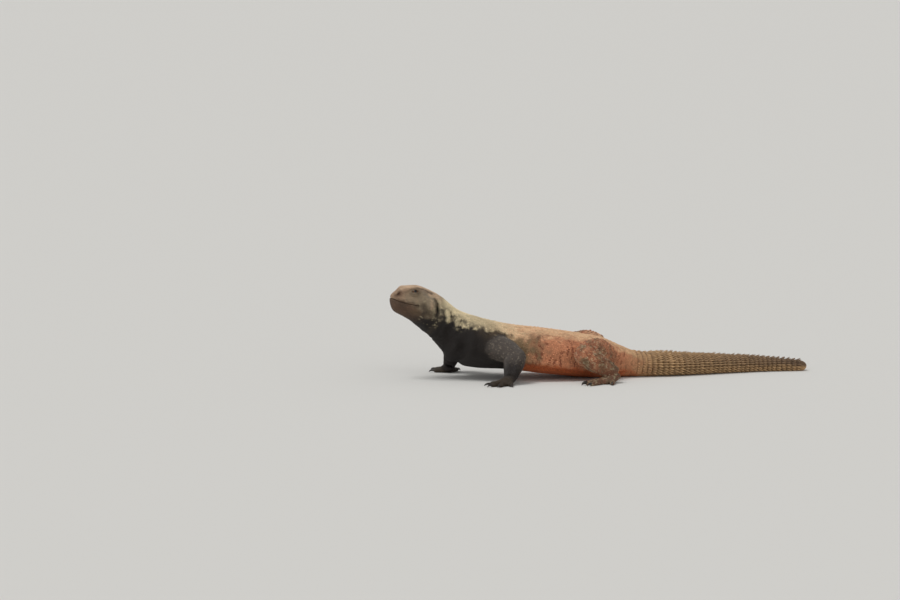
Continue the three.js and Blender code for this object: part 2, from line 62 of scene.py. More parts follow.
# Distance from the snout along the axis, place (back, rise, aside), slope of the section in degrees,
# the size that the section is a share of, and its shares of that width, height above and height below
STATIONS = [
    (0, -161, 84.4, -4, -10, HEAD, 0.42, 0.46, 0.65),
    (4, -157.1, 83.5, -3.7, -10, HEAD, 0.5, 0.47, 0.75),
    (8, -153.2, 82.5, -3.4, -10, HEAD, 0.57, 0.7, 0.78),
    (16, -145.4, 80.5, -2.8, -10, HEAD, 0.67, 0.87, 0.89),
    (24, -137.5, 78.5, -2.1, -12, HEAD, 0.75, 0.98, 1.02),
    (32, -129.7, 76.5, -1.5, -17, HEAD, 0.88, 0.94, 1.2),
    (40, -122.3, 73.8, -1, -24, HEAD, 1, 0.86, 1.3),
    (47, -116, 70.2, -0.5, -30, HEAD, 0.99, 0.82, 1.36),
    (54, -110.3, 65.8, 0, -35, HEAD, 0.94, 0.8, 1.33),
    (64, -102.5, 59, 0, -38, TRUNK, 0.46, 0.63, 1.18),
    (75, -93.5, 51.9, 0, -36, TRUNK, 0.53, 0.73, 1.3),
    (88, -83, 44.6, 0, -28, TRUNK, 0.68, 0.85, 1.52),
    (106, -67, 38, 0, -18, TRUNK, 0.83, 0.9, 1.37),
    (134, -40, 30.5, 1.5, -9, TRUNK, 0.93, 0.96, 1.03),
    (170, -4, 25, 3, -6, TRUNK, 1, 1, 0.98),
    (203, 29, 21.5, 2, -6, TRUNK, 0.95, 0.94, 1),
    (231, 57, 18.5, 0, -7, TRUNK, 0.77, 0.83, 0.96),
    (252, 78, 14.5, -1, -9, TAIL, 1.16, 1.32, 1.22),
    (271, 97, 11.8, -2, -5, TAIL, 1, 1, 1),
    (310, 136, 10, -6, -2, TAIL, 0.91, 0.88, 0.87),
    (360, 185, 8.3, -17, -2, TAIL, 0.72, 0.72, 0.72),
    (410, 234, 6.6, -25, -2, TAIL, 0.51, 0.56, 0.58),
    (BODY_END, 279, 4.8, -22, -1, TAIL, 0.28, 0.38, 0.42),
]
TRACK = np.array([row[0] for row in STATIONS], float)
BACK, RISE, ASIDE, TILT = (np.array([row[i] for row in STATIONS], float) for i in (1, 2, 3, 4))
WIDE, ABOVE, BELOW = (np.array([row[5][i] * row[6 + i] for row in STATIONS], float) for i in (0, 1, 2))

# Swellings, folds and hollows, alike on both sides: from and to as distance from the snout and degrees
# from the middle of the back, how far each spreads, and how high it stands
FORMS = [
    ((16, 0), (34, 0), 6, -1),
    ((16, 40), (30, 40), 3, 1.9),
    ((7, 62), (7, 62), 3, 0.9),
    ((14, 66), (14, 66), 4, -1.1),
    ((2, 84), (28, 80), 2, 0.7),
    ((2, 103), (28, 104), 2.2, 0.7),
    ((31, 92), (31, 92), 3, -0.9),
    ((36, 92), (41, 84), 7, 2),
    ((36, 48), (36, 48), 5, -0.9),
    ((48, 64), (48, 82), 4, -1.6),
    ((20, 130), (44, 122), 3.5, -0.9),
    ((56, 60), (63, 112), 3.4, 1.9),
    ((66, 50), (74, 104), 3.4, 1.7),
    ((84, 180), (79, 104), 4, 2.2),
    ((92, 180), (87, 112), 4, -2),
    ((84, 62), (95, 104), 4, 2),
    ((100, 52), (112, 56), 12, 2.6),
    ((130, 104), (130, 104), 9, -2),
    ((132, 104), (212, 110), 5, 3),
    ((132, 124), (208, 130), 6, -1.6),
    ((226, 44), (236, 50), 9, 1.8),
    ((208, 92), (208, 92), 9, -2),
]


def norm(v):
    return np.linalg.norm(v, axis=-1)


def unit(v):
    return v / np.maximum(norm(v)[..., None], 1e-9)


def dot(a, b):
    return np.sum(a * b, -1)


def square(v, other):
    """The direction of v less its part along another direction."""
    return unit(v - other * dot(v, other)[..., None])


def smooth(low, high, x):
    t = np.clip((x - low) / (high - low), 0, 1)
    return t * t * (3 - 2 * t)


def band(x, start, full, last, end):
    """1 between full and last, falling to 0 at the start and the end."""
    return smooth(start, full, x) * (1 - smooth(last, end, x))


def bell(x):
    return np.exp(-(x**2))


def spline(knots, values, s):
    """The value at s of a smooth curve through the knots, sloped at each like the two beside it."""
    knots, values, s = (np.asarray(v, float) for v in (knots, values, s))
    own = np.arange(len(knots))
    before, after = np.maximum(own - 1, 0), np.minimum(own + 1, len(knots) - 1)
    slope = (values[after] - values[before]) / (knots[after] - knots[before])
    i = np.clip(np.searchsorted(knots, s) - 1, 0, len(knots) - 2)
    step = knots[i + 1] - knots[i]
    t = np.clip((s - knots[i]) / step, 0, 1)
    start = values[i] * (1 + 2 * t) * (1 - t) ** 2 + slope[i] * step * t * (1 - t) ** 2
    return start + values[i + 1] * t * t * (3 - 2 * t) + slope[i + 1] * step * t * t * (t - 1)


def end_round(s):
    snout = 1 - np.minimum(s / SNOUT_ROUND, 1)
    tip = 1 - np.minimum((BODY_END - s) / TIP_ROUND, 1)
    return np.sqrt(np.clip(1 - snout**2, 0, 1) * np.clip(1 - tip**2, 0, 1))


def axis_point(s):
    return np.stack([spline(TRACK, ASIDE, s), spline(TRACK, BACK, s), spline(TRACK, RISE, s)], -1)


def half_sizes(s):
    return [spline(TRACK, size, s) for size in (WIDE, ABOVE, BELOW)]


def mean_radius(wide, above, below):
    return (wide + (above + below) / 2) / 2


def section(s):
    """Centre, directions left, up and back, and half sizes of the body's section at s."""
    s = np.asarray(s, float)
    bend = axis_point(s + 1) - axis_point(s - 1)
    level = unit(bend * [1, 1, 0])
    tilt = np.radians(spline(TRACK, TILT, s))[..., None]
    back = level * np.cos(tilt) + np.sin(tilt) * [0, 0, 1]
    left = np.cross(level, [0, 0, 1])
    sizes = [size * end_round(s) for size in half_sizes(s)]
    return axis_point(s), left, np.cross(left, back), back, *sizes


def line_distance(s, angle, start, end, per_degree):
    """Distance in millimetres of places on the body from a line between two others."""
    x, y = s - start[0], angle * per_degree - start[1] * per_degree
    run = (end[0] - start[0], end[1] * per_degree - start[1] * per_degree)
    length = run[0] ** 2 + run[1] ** 2
    share = (x * run[0] + y * run[1]) / np.where(length == 0, 1, length)
    t = np.clip(np.where(length == 0, 0, share), 0, 1)
    return np.hypot(x - t * run[0], y - t * run[1])


def folded(angle):
    """Degrees from the middle of the back, alike on both sides."""
    return np.abs((angle + 180) % 360 - 180)


def relief(s, angle, radius):
    """How far the swellings, folds and hollows stand out."""
    total = 0
    for start, end, reach, high in FORMS:
        away = line_distance(s, folded(angle), start, end, radius * math.pi / 180)
        total = total + high * bell(away / reach)
    return total * end_round(s)


def body(s, angle):
    """Points of the body's skin, and the directions out, left, up and back there."""
    s, angle = np.broadcast_arrays(np.asarray(s, float), np.asarray(angle, float))
    centre, left, up, back, wide, above, below = section(s)
    a = np.radians(angle)
    height = np.where(np.cos(a) >= 0, above, below)
    out = unit(left * (np.sin(a) * height)[..., None] + up * (np.cos(a) * wide)[..., None])
    round_off = [np.sign(v) * np.abs(v) ** (2 / ROUNDNESS) for v in (np.sin(a), np.cos(a))]
    stand = relief(s, angle, mean_radius(wide, above, below))
    point = centre + left * (round_off[0] * wide)[..., None] + up * (round_off[1] * height)[..., None]
    return point + out * stand[..., None], out, left, up, back


def body_place(points, s):
    """Distance from the snout and angle of points near the body, starting from a guess of the distance."""
    for _ in range(4):
        centre, left, up, back, *_ = section(s)
        s = np.clip(s + dot(points - centre, back), 0.2, BODY_END - 0.2)
    centre, left, up, back, wide, above, below = section(s)
    x = dot(points - centre, left) / wide
    y = dot(points - centre, up)
    y = y / np.where(y >= 0, above, below)
    power = ROUNDNESS / 2
    return s, np.degrees(np.arctan2(np.sign(x) * np.abs(x) ** power, np.sign(y) * np.abs(y) ** power))


# For each kind of leg: shares along the upper and lower leg with half sizes across the plane of the bend and
# within it, length, half width and half height of the palm, length, turn and start along the palm of each
# toe, half thickness of the toes and length of the claws. For each leg: kind, side, shoulder or hip, elbow
# or knee, wrist or ankle, and heading of the toes
FORE = {
    "upper": ((0, 0.45, 1), (12.5, 13.2, 9.8), (14, 13.4, 10.2)),
    "lower": ((0, 0.35, 1), (9.8, 10, 6), (10.2, 10.4, 6.4)),
    "palm": (15, 8.4, 4),
    "toes": ((8, 58, 0.35), (11, 28, 0.8), (12.5, 2, 0.95), (11.5, -24, 0.85), (8.5, -54, 0.45)),
    "thick": 2.5,
    "claw": 6,
}
HIND = {
    "upper": ((0, 0.45, 1), (15, 15.5, 10), (16, 15, 10.5)),
    "lower": ((0, 0.35, 1), (10, 10.8, 6.4), (10.5, 11, 6.6)),
    "palm": (22, 8.6, 4.4),
    "toes": ((9, 44, 0.55), (13, 20, 0.85), (16, 2, 1), (18.5, -15, 0.95), (12, -48, 0.4)),
    "thick": 2.6,
    "claw": 6.2,
}
LEGS = {
    "fore_left": (FORE, 1, (15, -67, 35.5), (50, -38, 26), (67, -46, 7.5), (0.6, -0.8)),
    "fore_right": (FORE, -1, (-15, -67, 35.5), (-53, -85, 31.5), (-50, -93, 8.5), (-0.98, -0.2)),
    "hind_left": (HIND, 1, (14, 60, 20), (60, 32, 28), (62, 64, 9), (0.5, -0.87)),
    "hind_right": (HIND, -1, (-14, 60, 20), (-58, 42, 29), (-62, 75, 9), (-0.66, -0.75)),
}
UP = np.array([0, 0, 1.0])


class Part:
    """A grid of points round a line, with the way it runs and each point's share along and angle round it."""

    def __init__(self, name, kind, points, along, angle, lie=None):
        self.name, self.kind, self.points, self.along, self.angle = name, kind, points, along, angle
        rows = unit(np.gradient(points.mean(1), axis=0)) if lie is None else np.tile(lie, (len(points), 1))
        self.lie = np.broadcast_to(rows[:, None], points.shape)

    def mesh(self):
        """Vertices, and faces as quads and the triangles that close both ends."""
        rows, sides = self.points.shape[:2]
        vertices = np.concatenate([self.points.reshape(-1, 3), self.points[[0, -1]].mean(1)])
        start, j = np.arange(rows)[:, None] * sides, np.arange(sides)
        here, beside = start + j, start + (j + 1) % sides
        quads = np.stack([here[:-1], beside[:-1], beside[1:], here[1:]], -1).reshape(-1, 4)
        middle = np.full(sides, rows * sides)
        ends = (middle, beside[0], here[0]), (middle + 1, here[-1], beside[-1])
        return vertices, [quads, np.concatenate([np.stack(end, -1) for end in ends])]


def body_part():
    stops = np.concatenate([
        [0.15, 0.4, 0.8, 1.4, 2.1], np.arange(3, 60, 0.7), np.arange(60, 270, 1.1), np.arange(270, 454, 1.1),
        [454.3, 454.9],
    ])
    angle = np.arange(0, 360, 2.0)
    s, a = np.meshgrid(stops, angle, indexing="ij")
    return Part("body", "body", body(s, a)[0], s, a)


def tube(name, kind, line, flat_to, sizes, rows, sides):
    """A tube along a curve through three points, its sections flat to one direction."""
    start, middle, end = (np.asarray(p, float) for p in line)
    pull = 2 * middle - (start + end) / 2
    t = np.linspace(0, 1, rows)[:, None]
    centre = start * (1 - t) ** 2 + pull * 2 * t * (1 - t) + end * t * t
    tangent = unit((pull - start) * (1 - t) + (end - pull) * t)
    across = unit(np.cross(tangent, flat_to))
    normal = np.cross(across, tangent)
    flat, deep = (spline(sizes[0], size, t[:, 0])[:, None, None] for size in sizes[1:])
    a = np.linspace(0, 2 * np.pi, sides, endpoint=False)[None, :, None]
    points = centre[:, None] + np.cos(a) * flat * normal[:, None] + np.sin(a) * deep * across[:, None]
    grids = np.broadcast_arrays(t, np.degrees(a[0, :, 0])[None])
    return Part(name, kind, points, *grids)


def ball(name, kind, centre, radius, lie=UP):
    """A sphere as a part, with its poles along a direction."""
    polar, turn = np.meshgrid(np.linspace(2, 178, 24), np.arange(0, 360, 10), indexing="ij")
    side = unit(np.cross(lie, [0.3, 0.2, 0.9]))
    third = np.cross(lie, side)
    p, a = np.radians(polar)[..., None], np.radians(turn)[..., None]
    points = centre + radius * (-np.cos(p) * lie + np.sin(p) * (np.cos(a) * side + np.sin(a) * third))
    return Part(name, kind, points, polar / 180, turn, lie)


def toes_of(leg):
    """Root, heading and length of each toe of a foot."""
    kind, side, _, _, wrist, heading = LEGS[leg]
    ahead = unit(np.array([*heading, 0.0]))
    outer = np.array([-ahead[1], ahead[0], 0])
    length, wide, high = kind["palm"]
    for i, (reach, turn, start) in enumerate(kind["toes"]):
        root = np.array([*wrist[:2], high * 0.7]) + ahead * length * start
        root = root + outer * side * (i / 2 - 1) * wide * 0.72
        a = math.radians(-turn * side)
        yield root, ahead * math.cos(a) + outer * math.sin(a), reach


def ahead_of(root, heading, *steps):
    """Points ahead of a root, each at a distance from it and a height over the floor."""
    return [np.array([*(root + heading * away)[:2], height]) for away, height in steps]


def leg_parts(leg):
    """Upper and lower leg with the elbow or knee between them, palm or sole, and toes."""
    kind, _, root, elbow, wrist, heading = LEGS[leg]
    root, elbow, wrist = (np.array(p, float) for p in (root, elbow, wrist))
    down, on = unit(elbow - root), unit(wrist - elbow)
    flat_to = unit(np.cross(down, on))
    yield tube(leg, "upper", (root, (root + elbow) / 2 + 4 * UP, elbow), flat_to, kind["upper"], 40, 48)
    yield ball(leg, "elbow", elbow, kind["upper"][2][2], unit(down + on))
    yield tube(leg, "lower", (elbow, (elbow + wrist) / 2 + 0.5 * UP, wrist), flat_to, kind["lower"], 40, 40)
    length, wide, high = kind["palm"]
    ahead = unit(np.array([*heading, 0.0]))
    palm = ahead_of(wrist, ahead, (-1, wrist[2]), (length * 0.4, high), (length, high * 0.55))
    flat, deep = np.array([1.2, 1.1, 0.85, 0.5]) * high, np.array([0.66, 0.85, 1, 0.7]) * wide
    yield tube(leg, "palm", palm, UP, ((0, 0.35, 0.75, 1), flat, deep), 24, 32)
    thick = kind["thick"]
    size = np.array([1, 0.95, 0.85, 0.6]) * thick
    for root, turned, reach in toes_of(leg):
        bones = ahead_of(root, turned, (-3, root[2]), (reach * 0.45, thick * 0.95), (reach, thick * 0.5))
        yield tube(leg, "toe", bones, UP, ((0, 0.5, 0.85, 1), size, size), 16, 16)


# Eyes, nostrils and ears: place, turn in degrees and sizes. A lid lies over the ball of each eye, and its
# socket ends a gap inside the ball
EYE = {"at": 23.2, "angle": 52, "turn": 12, "radius": 4.4, "sunk": 2.6, "long": 4, "high": 1.9}
LID = 0.8
SOCKET_GAP = 0.8
NOSTRIL = {"at": 6.6, "angle": 63, "turn": 30, "wide": 0.9, "deep": 1.5}
EAR = {"at": 47, "angle": 70, "turn": 26, "wide": 1.8, "tall": 5.4, "deep": 3}


def spot(place, side):
    """Point of the skin at an eye, ear or nostril, and the directions out, left, up and back there."""
    return body(place["at"], place["angle"] * side)


def eye_centre(side):
    point, out, *_ = spot(EYE, side)
    return point - out * EYE["sunk"]


node_low, node_high = (np.array(corner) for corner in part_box("eye_left"))
SHIFT = (node_low + node_high) / 2 - eye_centre(1) * MM


def placed(name, data):
    """A new object in the scene."""
    made = bpy.data.objects.new(name, data)
    bpy.context.scene.collection.objects.link(made)
    return made


def fill(items, name, values, kind=np.float32):
    """Set a value, or a row of values, of each item of a mesh."""
    items.foreach_set(name, values.astype(kind).ravel())


def mesh_object(name, vertices, faces, smooth_shaded=True):
    """An object in metres from points in millimetres and lists of equal-sided faces."""
    mesh = bpy.data.meshes.new(name)
    mesh.vertices.add(len(vertices))
    fill(mesh.vertices, "co", vertices * MM + SHIFT)
    corners = np.concatenate([f.ravel() for f in faces])
    sizes = np.concatenate([np.full(len(f), f.shape[1]) for f in faces])
    mesh.loops.add(len(corners))
    fill(mesh.loops, "vertex_index", corners, np.int32)
    mesh.polygons.add(len(sizes))
    fill(mesh.polygons, "loop_start", np.cumsum(sizes) - sizes, np.int32)
    fill(mesh.polygons, "use_smooth", np.full(len(sizes), smooth_shaded), bool)
    mesh.update(calc_edges=True)
    return placed(name, mesh)


def apply_modifiers(made):
    bpy.context.view_layer.update()
    mesh = bpy.data.meshes.new_from_object(made.evaluated_get(bpy.context.evaluated_depsgraph_get()))
    made.modifiers.clear()
    made.data = mesh


def triples(items, name, kind=np.float32):
    """Three numbers of each item of a mesh."""
    flat = np.empty(len(items) * 3, kind)
    items.foreach_get(name, flat)
    return flat.reshape(-1, 3)


def places(made):
    return (triples(made.data.vertices, "co") - SHIFT) / MM


def normals(made):
    return triples(made.data.vertex_normals, "vector")


def joined(parts):
    """The meshes of several parts as one."""
    vertices, faces = zip(*[part.mesh() for part in parts])
    starts = np.cumsum([0] + [len(v) for v in vertices])
    return np.concatenate(vertices), [
        np.concatenate([f[kind] + start for f, start in zip(faces, starts)]) for kind in (0, 1)
    ]


def nearest(tree, points):
    """The place on a tree nearest to each point, the number of its face and how far it is."""
    at, _, face, away = zip(*[tree.find_nearest(Vector(p)) for p in points])
    return np.array(at), np.array(face), np.array(away)


# Where the skin is eased, as distances back or up from and to, with the reach and how many times
JOINTS = (-105, 85, 9, 60)
SOCKETS = (-150, -124, 2.2, 10)
WRISTS = (-1, 22, 3.5, 25)
COARSE_FROM = (-108, -98)
VOXEL = 0.75
SKIN_FACES = 168000
FLAT = 0.1
FINE = {"lips": 1.5, "eye": 7, "nostril": 2.5, "ear": 6}
LEG_MARGIN = 6
LEG_MIX = 2.5
MOUTH = {"corner": 30, "half": 0.4, "deep": 1.3, "sag": 0.4}
FACE_END = -120
CARVED = 0.45
BROW = 0.6


def fill_group(made, name, indices, weights):
    """A vertex group with the weights rounded to tenths."""
    group = made.vertex_groups.new(name=name)
    tenths = np.round(weights * 10).astype(int)
    for tenth in range(1, 11):
        group.add(indices[tenths == tenth].tolist(), tenth / 10, "REPLACE")


def tree_of(parts):
    vertices, (quads, _) = joined(parts)
    return BVHTree.FromPolygons(vertices.tolist(), quads.tolist())


def eased(skin, name, where, extent, parts, others):
    """Smooth the skin where some parts meet others, out to a reach from both."""
    low, high, reach, times = extent
    near = np.nonzero((where > low) & (where < high))[0]
    points = places(skin)[near]
    apart = np.maximum(*[nearest(tree_of(ones), points)[2] for ones in (parts, others)])
    fill_group(skin, name, near, 1 - smooth(0.1 * reach, reach, apart))
    ease = skin.modifiers.new(name, "SMOOTH")
    ease.vertex_group, ease.factor, ease.iterations = name, 0.5, times


def make_skin(parts, lids):
    """One closed skin round all the parts, eased where the legs and lids leave it, finest on the head."""
    skin = mesh_object("skin", *joined(parts + lids))
    remesh = skin.modifiers.new("Remesh", "REMESH")
    remesh.mode = "VOXEL"
    remesh.voxel_size = VOXEL * MM
    apply_modifiers(skin)
    _, y, z = places(skin).T
    kinds = ("upper", "elbow"), ("lower",), ("palm",)
    upper, lower, palms = ([part for part in parts if part.kind in kind] for kind in kinds)
    eased(skin, "joints", y, JOINTS, parts[:1], upper)
    eased(skin, "sockets", y, SOCKETS, parts[:1], lids)
    eased(skin, "wrists", z, WRISTS, lower, palms)
    fill_group(skin, "coarse", np.arange(len(y)), smooth(*COARSE_FROM, y))
    thin = skin.modifiers.new("Thin", "DECIMATE")
    thin.ratio = SKIN_FACES / (2 * len(skin.data.polygons))
    thin.vertex_group, thin.vertex_group_factor = "coarse", 1
    thin.use_collapse_triangulate = True
    apply_modifiers(skin)
    return skin


def refine(skin):
    """Split the faces near the eyes, ears, nostrils and lips in four."""
    points = places(skin)
    s, _ = body_place(points, np.interp(points[:, 1], BACK, TRACK))
    on_face = (s < MOUTH["corner"] + 3) & (points[:, 1] < FACE_END)
    wanted = (np.abs(mouth_height(points, s)) < FINE["lips"]) & on_face
    for side in (1, -1):
        wanted |= norm(points - eye_centre(side)) < FINE["eye"]
        wanted |= norm(points - spot(NOSTRIL, side)[0]) < FINE["nostril"]
        wanted |= norm(points - spot(EAR, side)[0]) < FINE["ear"]
    work = bmesh.new()
    work.from_mesh(skin.data)
    edges = [edge for edge in work.edges if wanted[edge.verts[0].index] and wanted[edge.verts[1].index]]
    bmesh.ops.subdivide_edges(work, edges=edges, cuts=1, use_grid_fill=True)
    bmesh.ops.triangulate(work, faces=[face for face in work.faces if len(face.verts) > 3])
    work.to_mesh(skin.data)
    work.free()


ALONG = {"upper": (0, 1), "elbow": (0.95, 0.1), "lower": (1, 1), "palm": (2, 1), "toe": (3, 1)}


def by_face(grids):
    """The values of the grids of a leg's parts, one for each quad of these parts."""
    return np.concatenate([grid[:-1].reshape(-1, *grid.shape[2:]) for grid in grids])


def fields_of(points, parts):
    """What the animal is at each point of the skin: its place on the body and on the nearest leg.

    s and angle are the place on the body and leg is the number of the leg. along is 0 at the shoulder or hip,
    1 at the elbow or knee, 2 at the wrist or ankle and 3 to 4 on the toes, and turn is the angle round it.
    mix is 0 on the body and 1 on the leg, and lie is the way that scales point."""
    _, face, off_body = nearest(tree_of(parts[:1]), points)
    s, angle = body_place(points, parts[0].along[:-1].ravel()[face])
    made = {name: np.zeros(len(points)) for name in ("leg", "along", "turn", "mix")}
    made |= {"s": s, "angle": angle, "lie": section(s)[3]}
    for number, leg in enumerate(LEGS):
        own = [part for part in parts if part.name == leg]
        corners = joined(own)[0]
        low, high = corners.min(0) - LEG_MARGIN, corners.max(0) + LEG_MARGIN
        near = np.nonzero(np.all((points > low) & (points < high), 1))[0]
        _, face, off = nearest(tree_of(own), points[near])
        mix = smooth(-LEG_MIX, LEG_MIX, off_body[near] - off)
        near, face, mix = (values[mix > 0] for values in (near, face, mix))
        made["leg"][near], made["mix"][near] = number, mix
        made["along"][near] = by_face([ALONG[p.kind][0] + p.along * ALONG[p.kind][1] for p in own])[face]
        made["turn"][near] = by_face([part.angle for part in own])[face]
        lie = by_face([part.lie for part in own])[face]
        made["lie"][near] = made["lie"][near] * (1 - mix[:, None]) + lie * mix[:, None]
    return made


def turned_by(x, y, degrees):
    """Two coordinates turned by some degrees."""
    t = math.radians(degrees)
    return x * math.cos(t) - y * math.sin(t), x * math.sin(t) + y * math.cos(t)


def square_to(place, side):
    """The point at an eye, ear or nostril, and the directions back, up and out, square to each other."""
    point, out, _, up, back = spot(place, side)
    up = unit(up - out * np.dot(up, out))
    return point, unit(back - out * np.dot(back, out) - up * np.dot(back, up)), up, out


def local(points, place, side):
    """Distances of points from an eye, ear or nostril, along it, across it and out."""
    point, back, up, out = square_to(place, side)
    away = points - point
    return *turned_by(away @ back, away @ up, -place["turn"]), away @ out


def mouth_height(points, s):
    """Height of points above the line of the mouth."""
    centre, _, up, *_ = section(s)
    wave = MOUTH["sag"] * (np.cos(s / MOUTH["corner"] * 2 * math.pi) - 1)
    return dot(points - centre, up) - wave


def openings(points, s):
    """Depth of the mouth line, nostrils and ears at points of the skin."""
    line = bell(mouth_height(points, s) / MOUTH["half"]) * (1 - smooth(27, 31, s))
    depth = MOUTH["deep"] * line * (points[:, 1] < FACE_END)
    for side in (1, -1):
        x, y, z = local(points, NOSTRIL, side)
        pit = np.exp(-(((x / 1.5) ** 2 + y**2) / NOSTRIL["wide"] ** 2)) * (np.abs(z) < 3)
        x, y, z = local(points, EAR, side)
        cup = np.clip(1 - (x / EAR["wide"]) ** 2 - (y / EAR["tall"]) ** 2, 0, 1) * (np.abs(z) < 6)
        depth = depth + NOSTRIL["deep"] * pit + EAR["deep"] * np.sqrt(cup)
    return depth


def eye_opening(points, side):
    """Which points lie between the lids: below 1 inside, 1 on the rim, more outside."""
    x, y, z = local(points, EYE, side)
    ring = (np.abs(x) / EYE["long"]) ** 1.6 + (np.abs(y) / EYE["high"]) ** 2
    away = (z < -EYE["radius"]) | (norm(points - eye_centre(side)) > 9)
    return np.where(away, 9, ring)


def lid_folds(points, side):
    """Depth of the creases round the lids, less the height of the brow over them."""
    x, y, z = local(points, EYE, side)
    ring = np.sqrt(np.hypot(np.abs(x / EYE["long"]) ** 0.8, y / EYE["high"]))
    creases = 0.4 * bell((ring - 1.3) / 0.07) + 0.3 * bell((ring - 1.62) / 0.09)
    brow = np.exp(-(((y - 4.4) / 1.3) ** 2) - (np.abs(x + 0.5) / 6) ** 4)
    return np.where((np.abs(z) < 5) & (np.abs(x) < 9), creases * (y < 3.4) - BROW * brow, 0)


def carved(points, out, made):
    """The skin with its mouth line, nostrils, ears, eye openings and wrinkles."""
    depth = openings(points, made["s"])
    made["bare"] = depth > CARVED
    depth += wrinkles(made["s"], folded(made["angle"]), made["mix"])
    depth += lid_folds(points, 1) + lid_folds(points, -1)
    points = points - out * depth[:, None]
    for side in (1, -1):
        inside = eye_opening(points, side) < 1
        made["bare"] |= inside
        centre = eye_centre(side)
        wall = centre + unit(points - centre) * (EYE["radius"] - SOCKET_GAP)
        points = np.where(inside[:, None], wall, points)
    points[:, 2] = np.maximum(points[:, 2], FLAT)
    return points


CREASE_PITCH = 4.6
HASH_PRIMES = (73856093, 19349663, 83492791)
HASH_FACTOR = 1274126177
ASKEW = np.array([[0.64, 0.6, 0.48], [-0.48, 0.8, -0.36], [-0.6, 0, 0.8]])


def noise(points, size, seed=0):
    """Smooth noise from 0 to 1, in lumps of about the given size, off the square to the body."""
    count = points.shape[1]
    where = points @ (ASKEW if count == 3 else ASKEW[:2, :2] / 0.9) / size + 31.7 * seed
    cell = np.floor(where).astype(np.int64)
    t = where - cell
    t = t * t * (3 - 2 * t)
    total = np.zeros(len(points))
    for corner in itertools.product((0, 1), repeat=count):
        key = (cell + corner) @ np.array(HASH_PRIMES[:count])
        key = (key ^ (key >> 13)) * HASH_FACTOR & 0xFFFFFFFF
        value = ((key ^ (key >> 16)) & 0xFFFF) / 65535
        total += value * np.prod(np.where(corner, t, 1 - t), -1)
    return total


def lines(points, size, thin, seed=0):
    """1 along thin winding lines and 0 between them."""
    bent = points.copy()
    for i in range(2):
        sway = noise(points, size * 1.3, seed + 5 + i) + 0.4 * noise(points, size * 0.5, seed + 8 + i)
        bent[:, i] += 1.3 * size * sway
    mixed = 0.7 * noise(bent, size, seed) + 0.3 * noise(bent, size * 0.6, seed + 3)
    return 1 - smooth(0, thin, np.abs(mixed - 0.5))


def sheet(s, angle):
    """Flat coordinates along the body and round it, in millimetres."""
    return np.stack([s, np.radians(angle) * mean_radius(*half_sizes(s))], -1)


def creases(flat):
    """1 along the fine creases that run down the flanks, bowed and broken, and 0 between them."""
    bow = 1.6 * noise(flat / [2, 3.4], 6, 31) + 0.35 * noise(flat, 2.2, 32)
    across = np.abs((flat[:, 0] / CREASE_PITCH + bow) % 1 - 0.5) * 2
    return (1 - smooth(0.1, 0.42, across)) * smooth(0.3, 0.55, noise(flat / [1, 2], 4.5, 33))


def wrinkles(s, angle, mix):
    """Depth of the fine folds of the flanks and neck."""
    flat = sheet(s, angle)
    flank = band(s, 104, 130, 225, 262) * band(angle, 48, 66, 116, 136)
    neck = band(s, 50, 58, 84, 96) * smooth(35, 60, angle)
    folds = 0.6 * flank * creases(flat) + 0.6 * neck * lines(flat / [1, 2], 5, 0.3, 4)
    return (1 - mix) * folds


def tone(*shades):
    """A colour as it looks in daylight, from 0 to 255, in the shares of light that the renderer takes."""
    value = np.array(shades) / 255
    return np.where(value <= 0.04045, value / 12.92, ((value + 0.055) / 1.055) ** 2.4)


DARKEST = 0.004
TAN = tone(204, 173, 142)
SNOUT = tone(164, 136, 110)
CHEEK = tone(146, 129, 105)
JAW = tone(98, 74, 56)
NIGHT = tone(27, 20, 16)
CREAM = tone(219, 203, 165)
OLIVE = tone(134, 109, 78)
PEACH = tone(220, 180, 140)
SALMON = tone(202, 136, 98)
RUST = tone(132, 70, 46)
BELLY = tone(198, 106, 58)
STRAW = tone(184, 148, 106)
BARK = tone(112, 88, 66)
# Grey of the forelegs, partly painted sheen
SLATE = tone(80, 71, 64)
NOSTRIL_BROWN = tone(78, 44, 22)
# Painted shadow under the brow, round the eye
BROW_SHADOW = tone(92, 76, 58)
ASH = tone(136, 124, 108)
UMBER = tone(74, 60, 44)


def blend(first, second, share):
    return first + (second - first) * np.asarray(share)[..., None]


def layers(colour, *coats):
    """A colour with others laid over it, each with its share."""
    for tint, share in coats:
        colour = blend(colour, tint, share)
    return colour


def back_paint(s, angle, flat):
    """Crown, nape, back and tail, with fine lines over the back."""
    knots = [0, 14, 34, 45, 54, 105, 160, 230, 290, BODY_END]
    stops = spline(knots, [0, 0, 1, 1.2, 1.95, 2.15, 3, 3.2, 4, 5], s)
    ramp = np.stack([SNOUT, CHEEK, CREAM, PEACH, STRAW, BARK])
    low = np.clip(np.floor(stops).astype(int), 0, 4)
    colour = blend(ramp[low], ramp[low + 1], stops - low)
    crown = band(s, 5, 10, 40, 52) * (1 - smooth(36, 50, angle))
    worm = lines(flat, 4.5, 0.14, 9) * band(s, 110, 150, 255, 280)
    return layers(colour, (TAN, crown * 0.9), (SALMON * 0.8, 0.45 * worm))


def flank_paint(s, flat, rough):
    """Black by the shoulder, then olive, then orange with rusty lines along the carved creases, partly the
    flank's own lines and partly painted shade in the creases.
    """
    return layers(
        NIGHT,
        (OLIVE, smooth(120, 134, s + 14 * rough)),
        (SALMON, smooth(148, 172, s + 20 * rough)),
        # Rusty lines along the same creases that are carved into the skin: partly the flank's own colour,
        # partly painted shade in the creases
        (RUST, 0.8 * creases(flat) * smooth(140, 166, s)),
        (STRAW, smooth(238, 292, s + 16 * rough)),
    )


MARKS_PER_DEGREE = 0.3
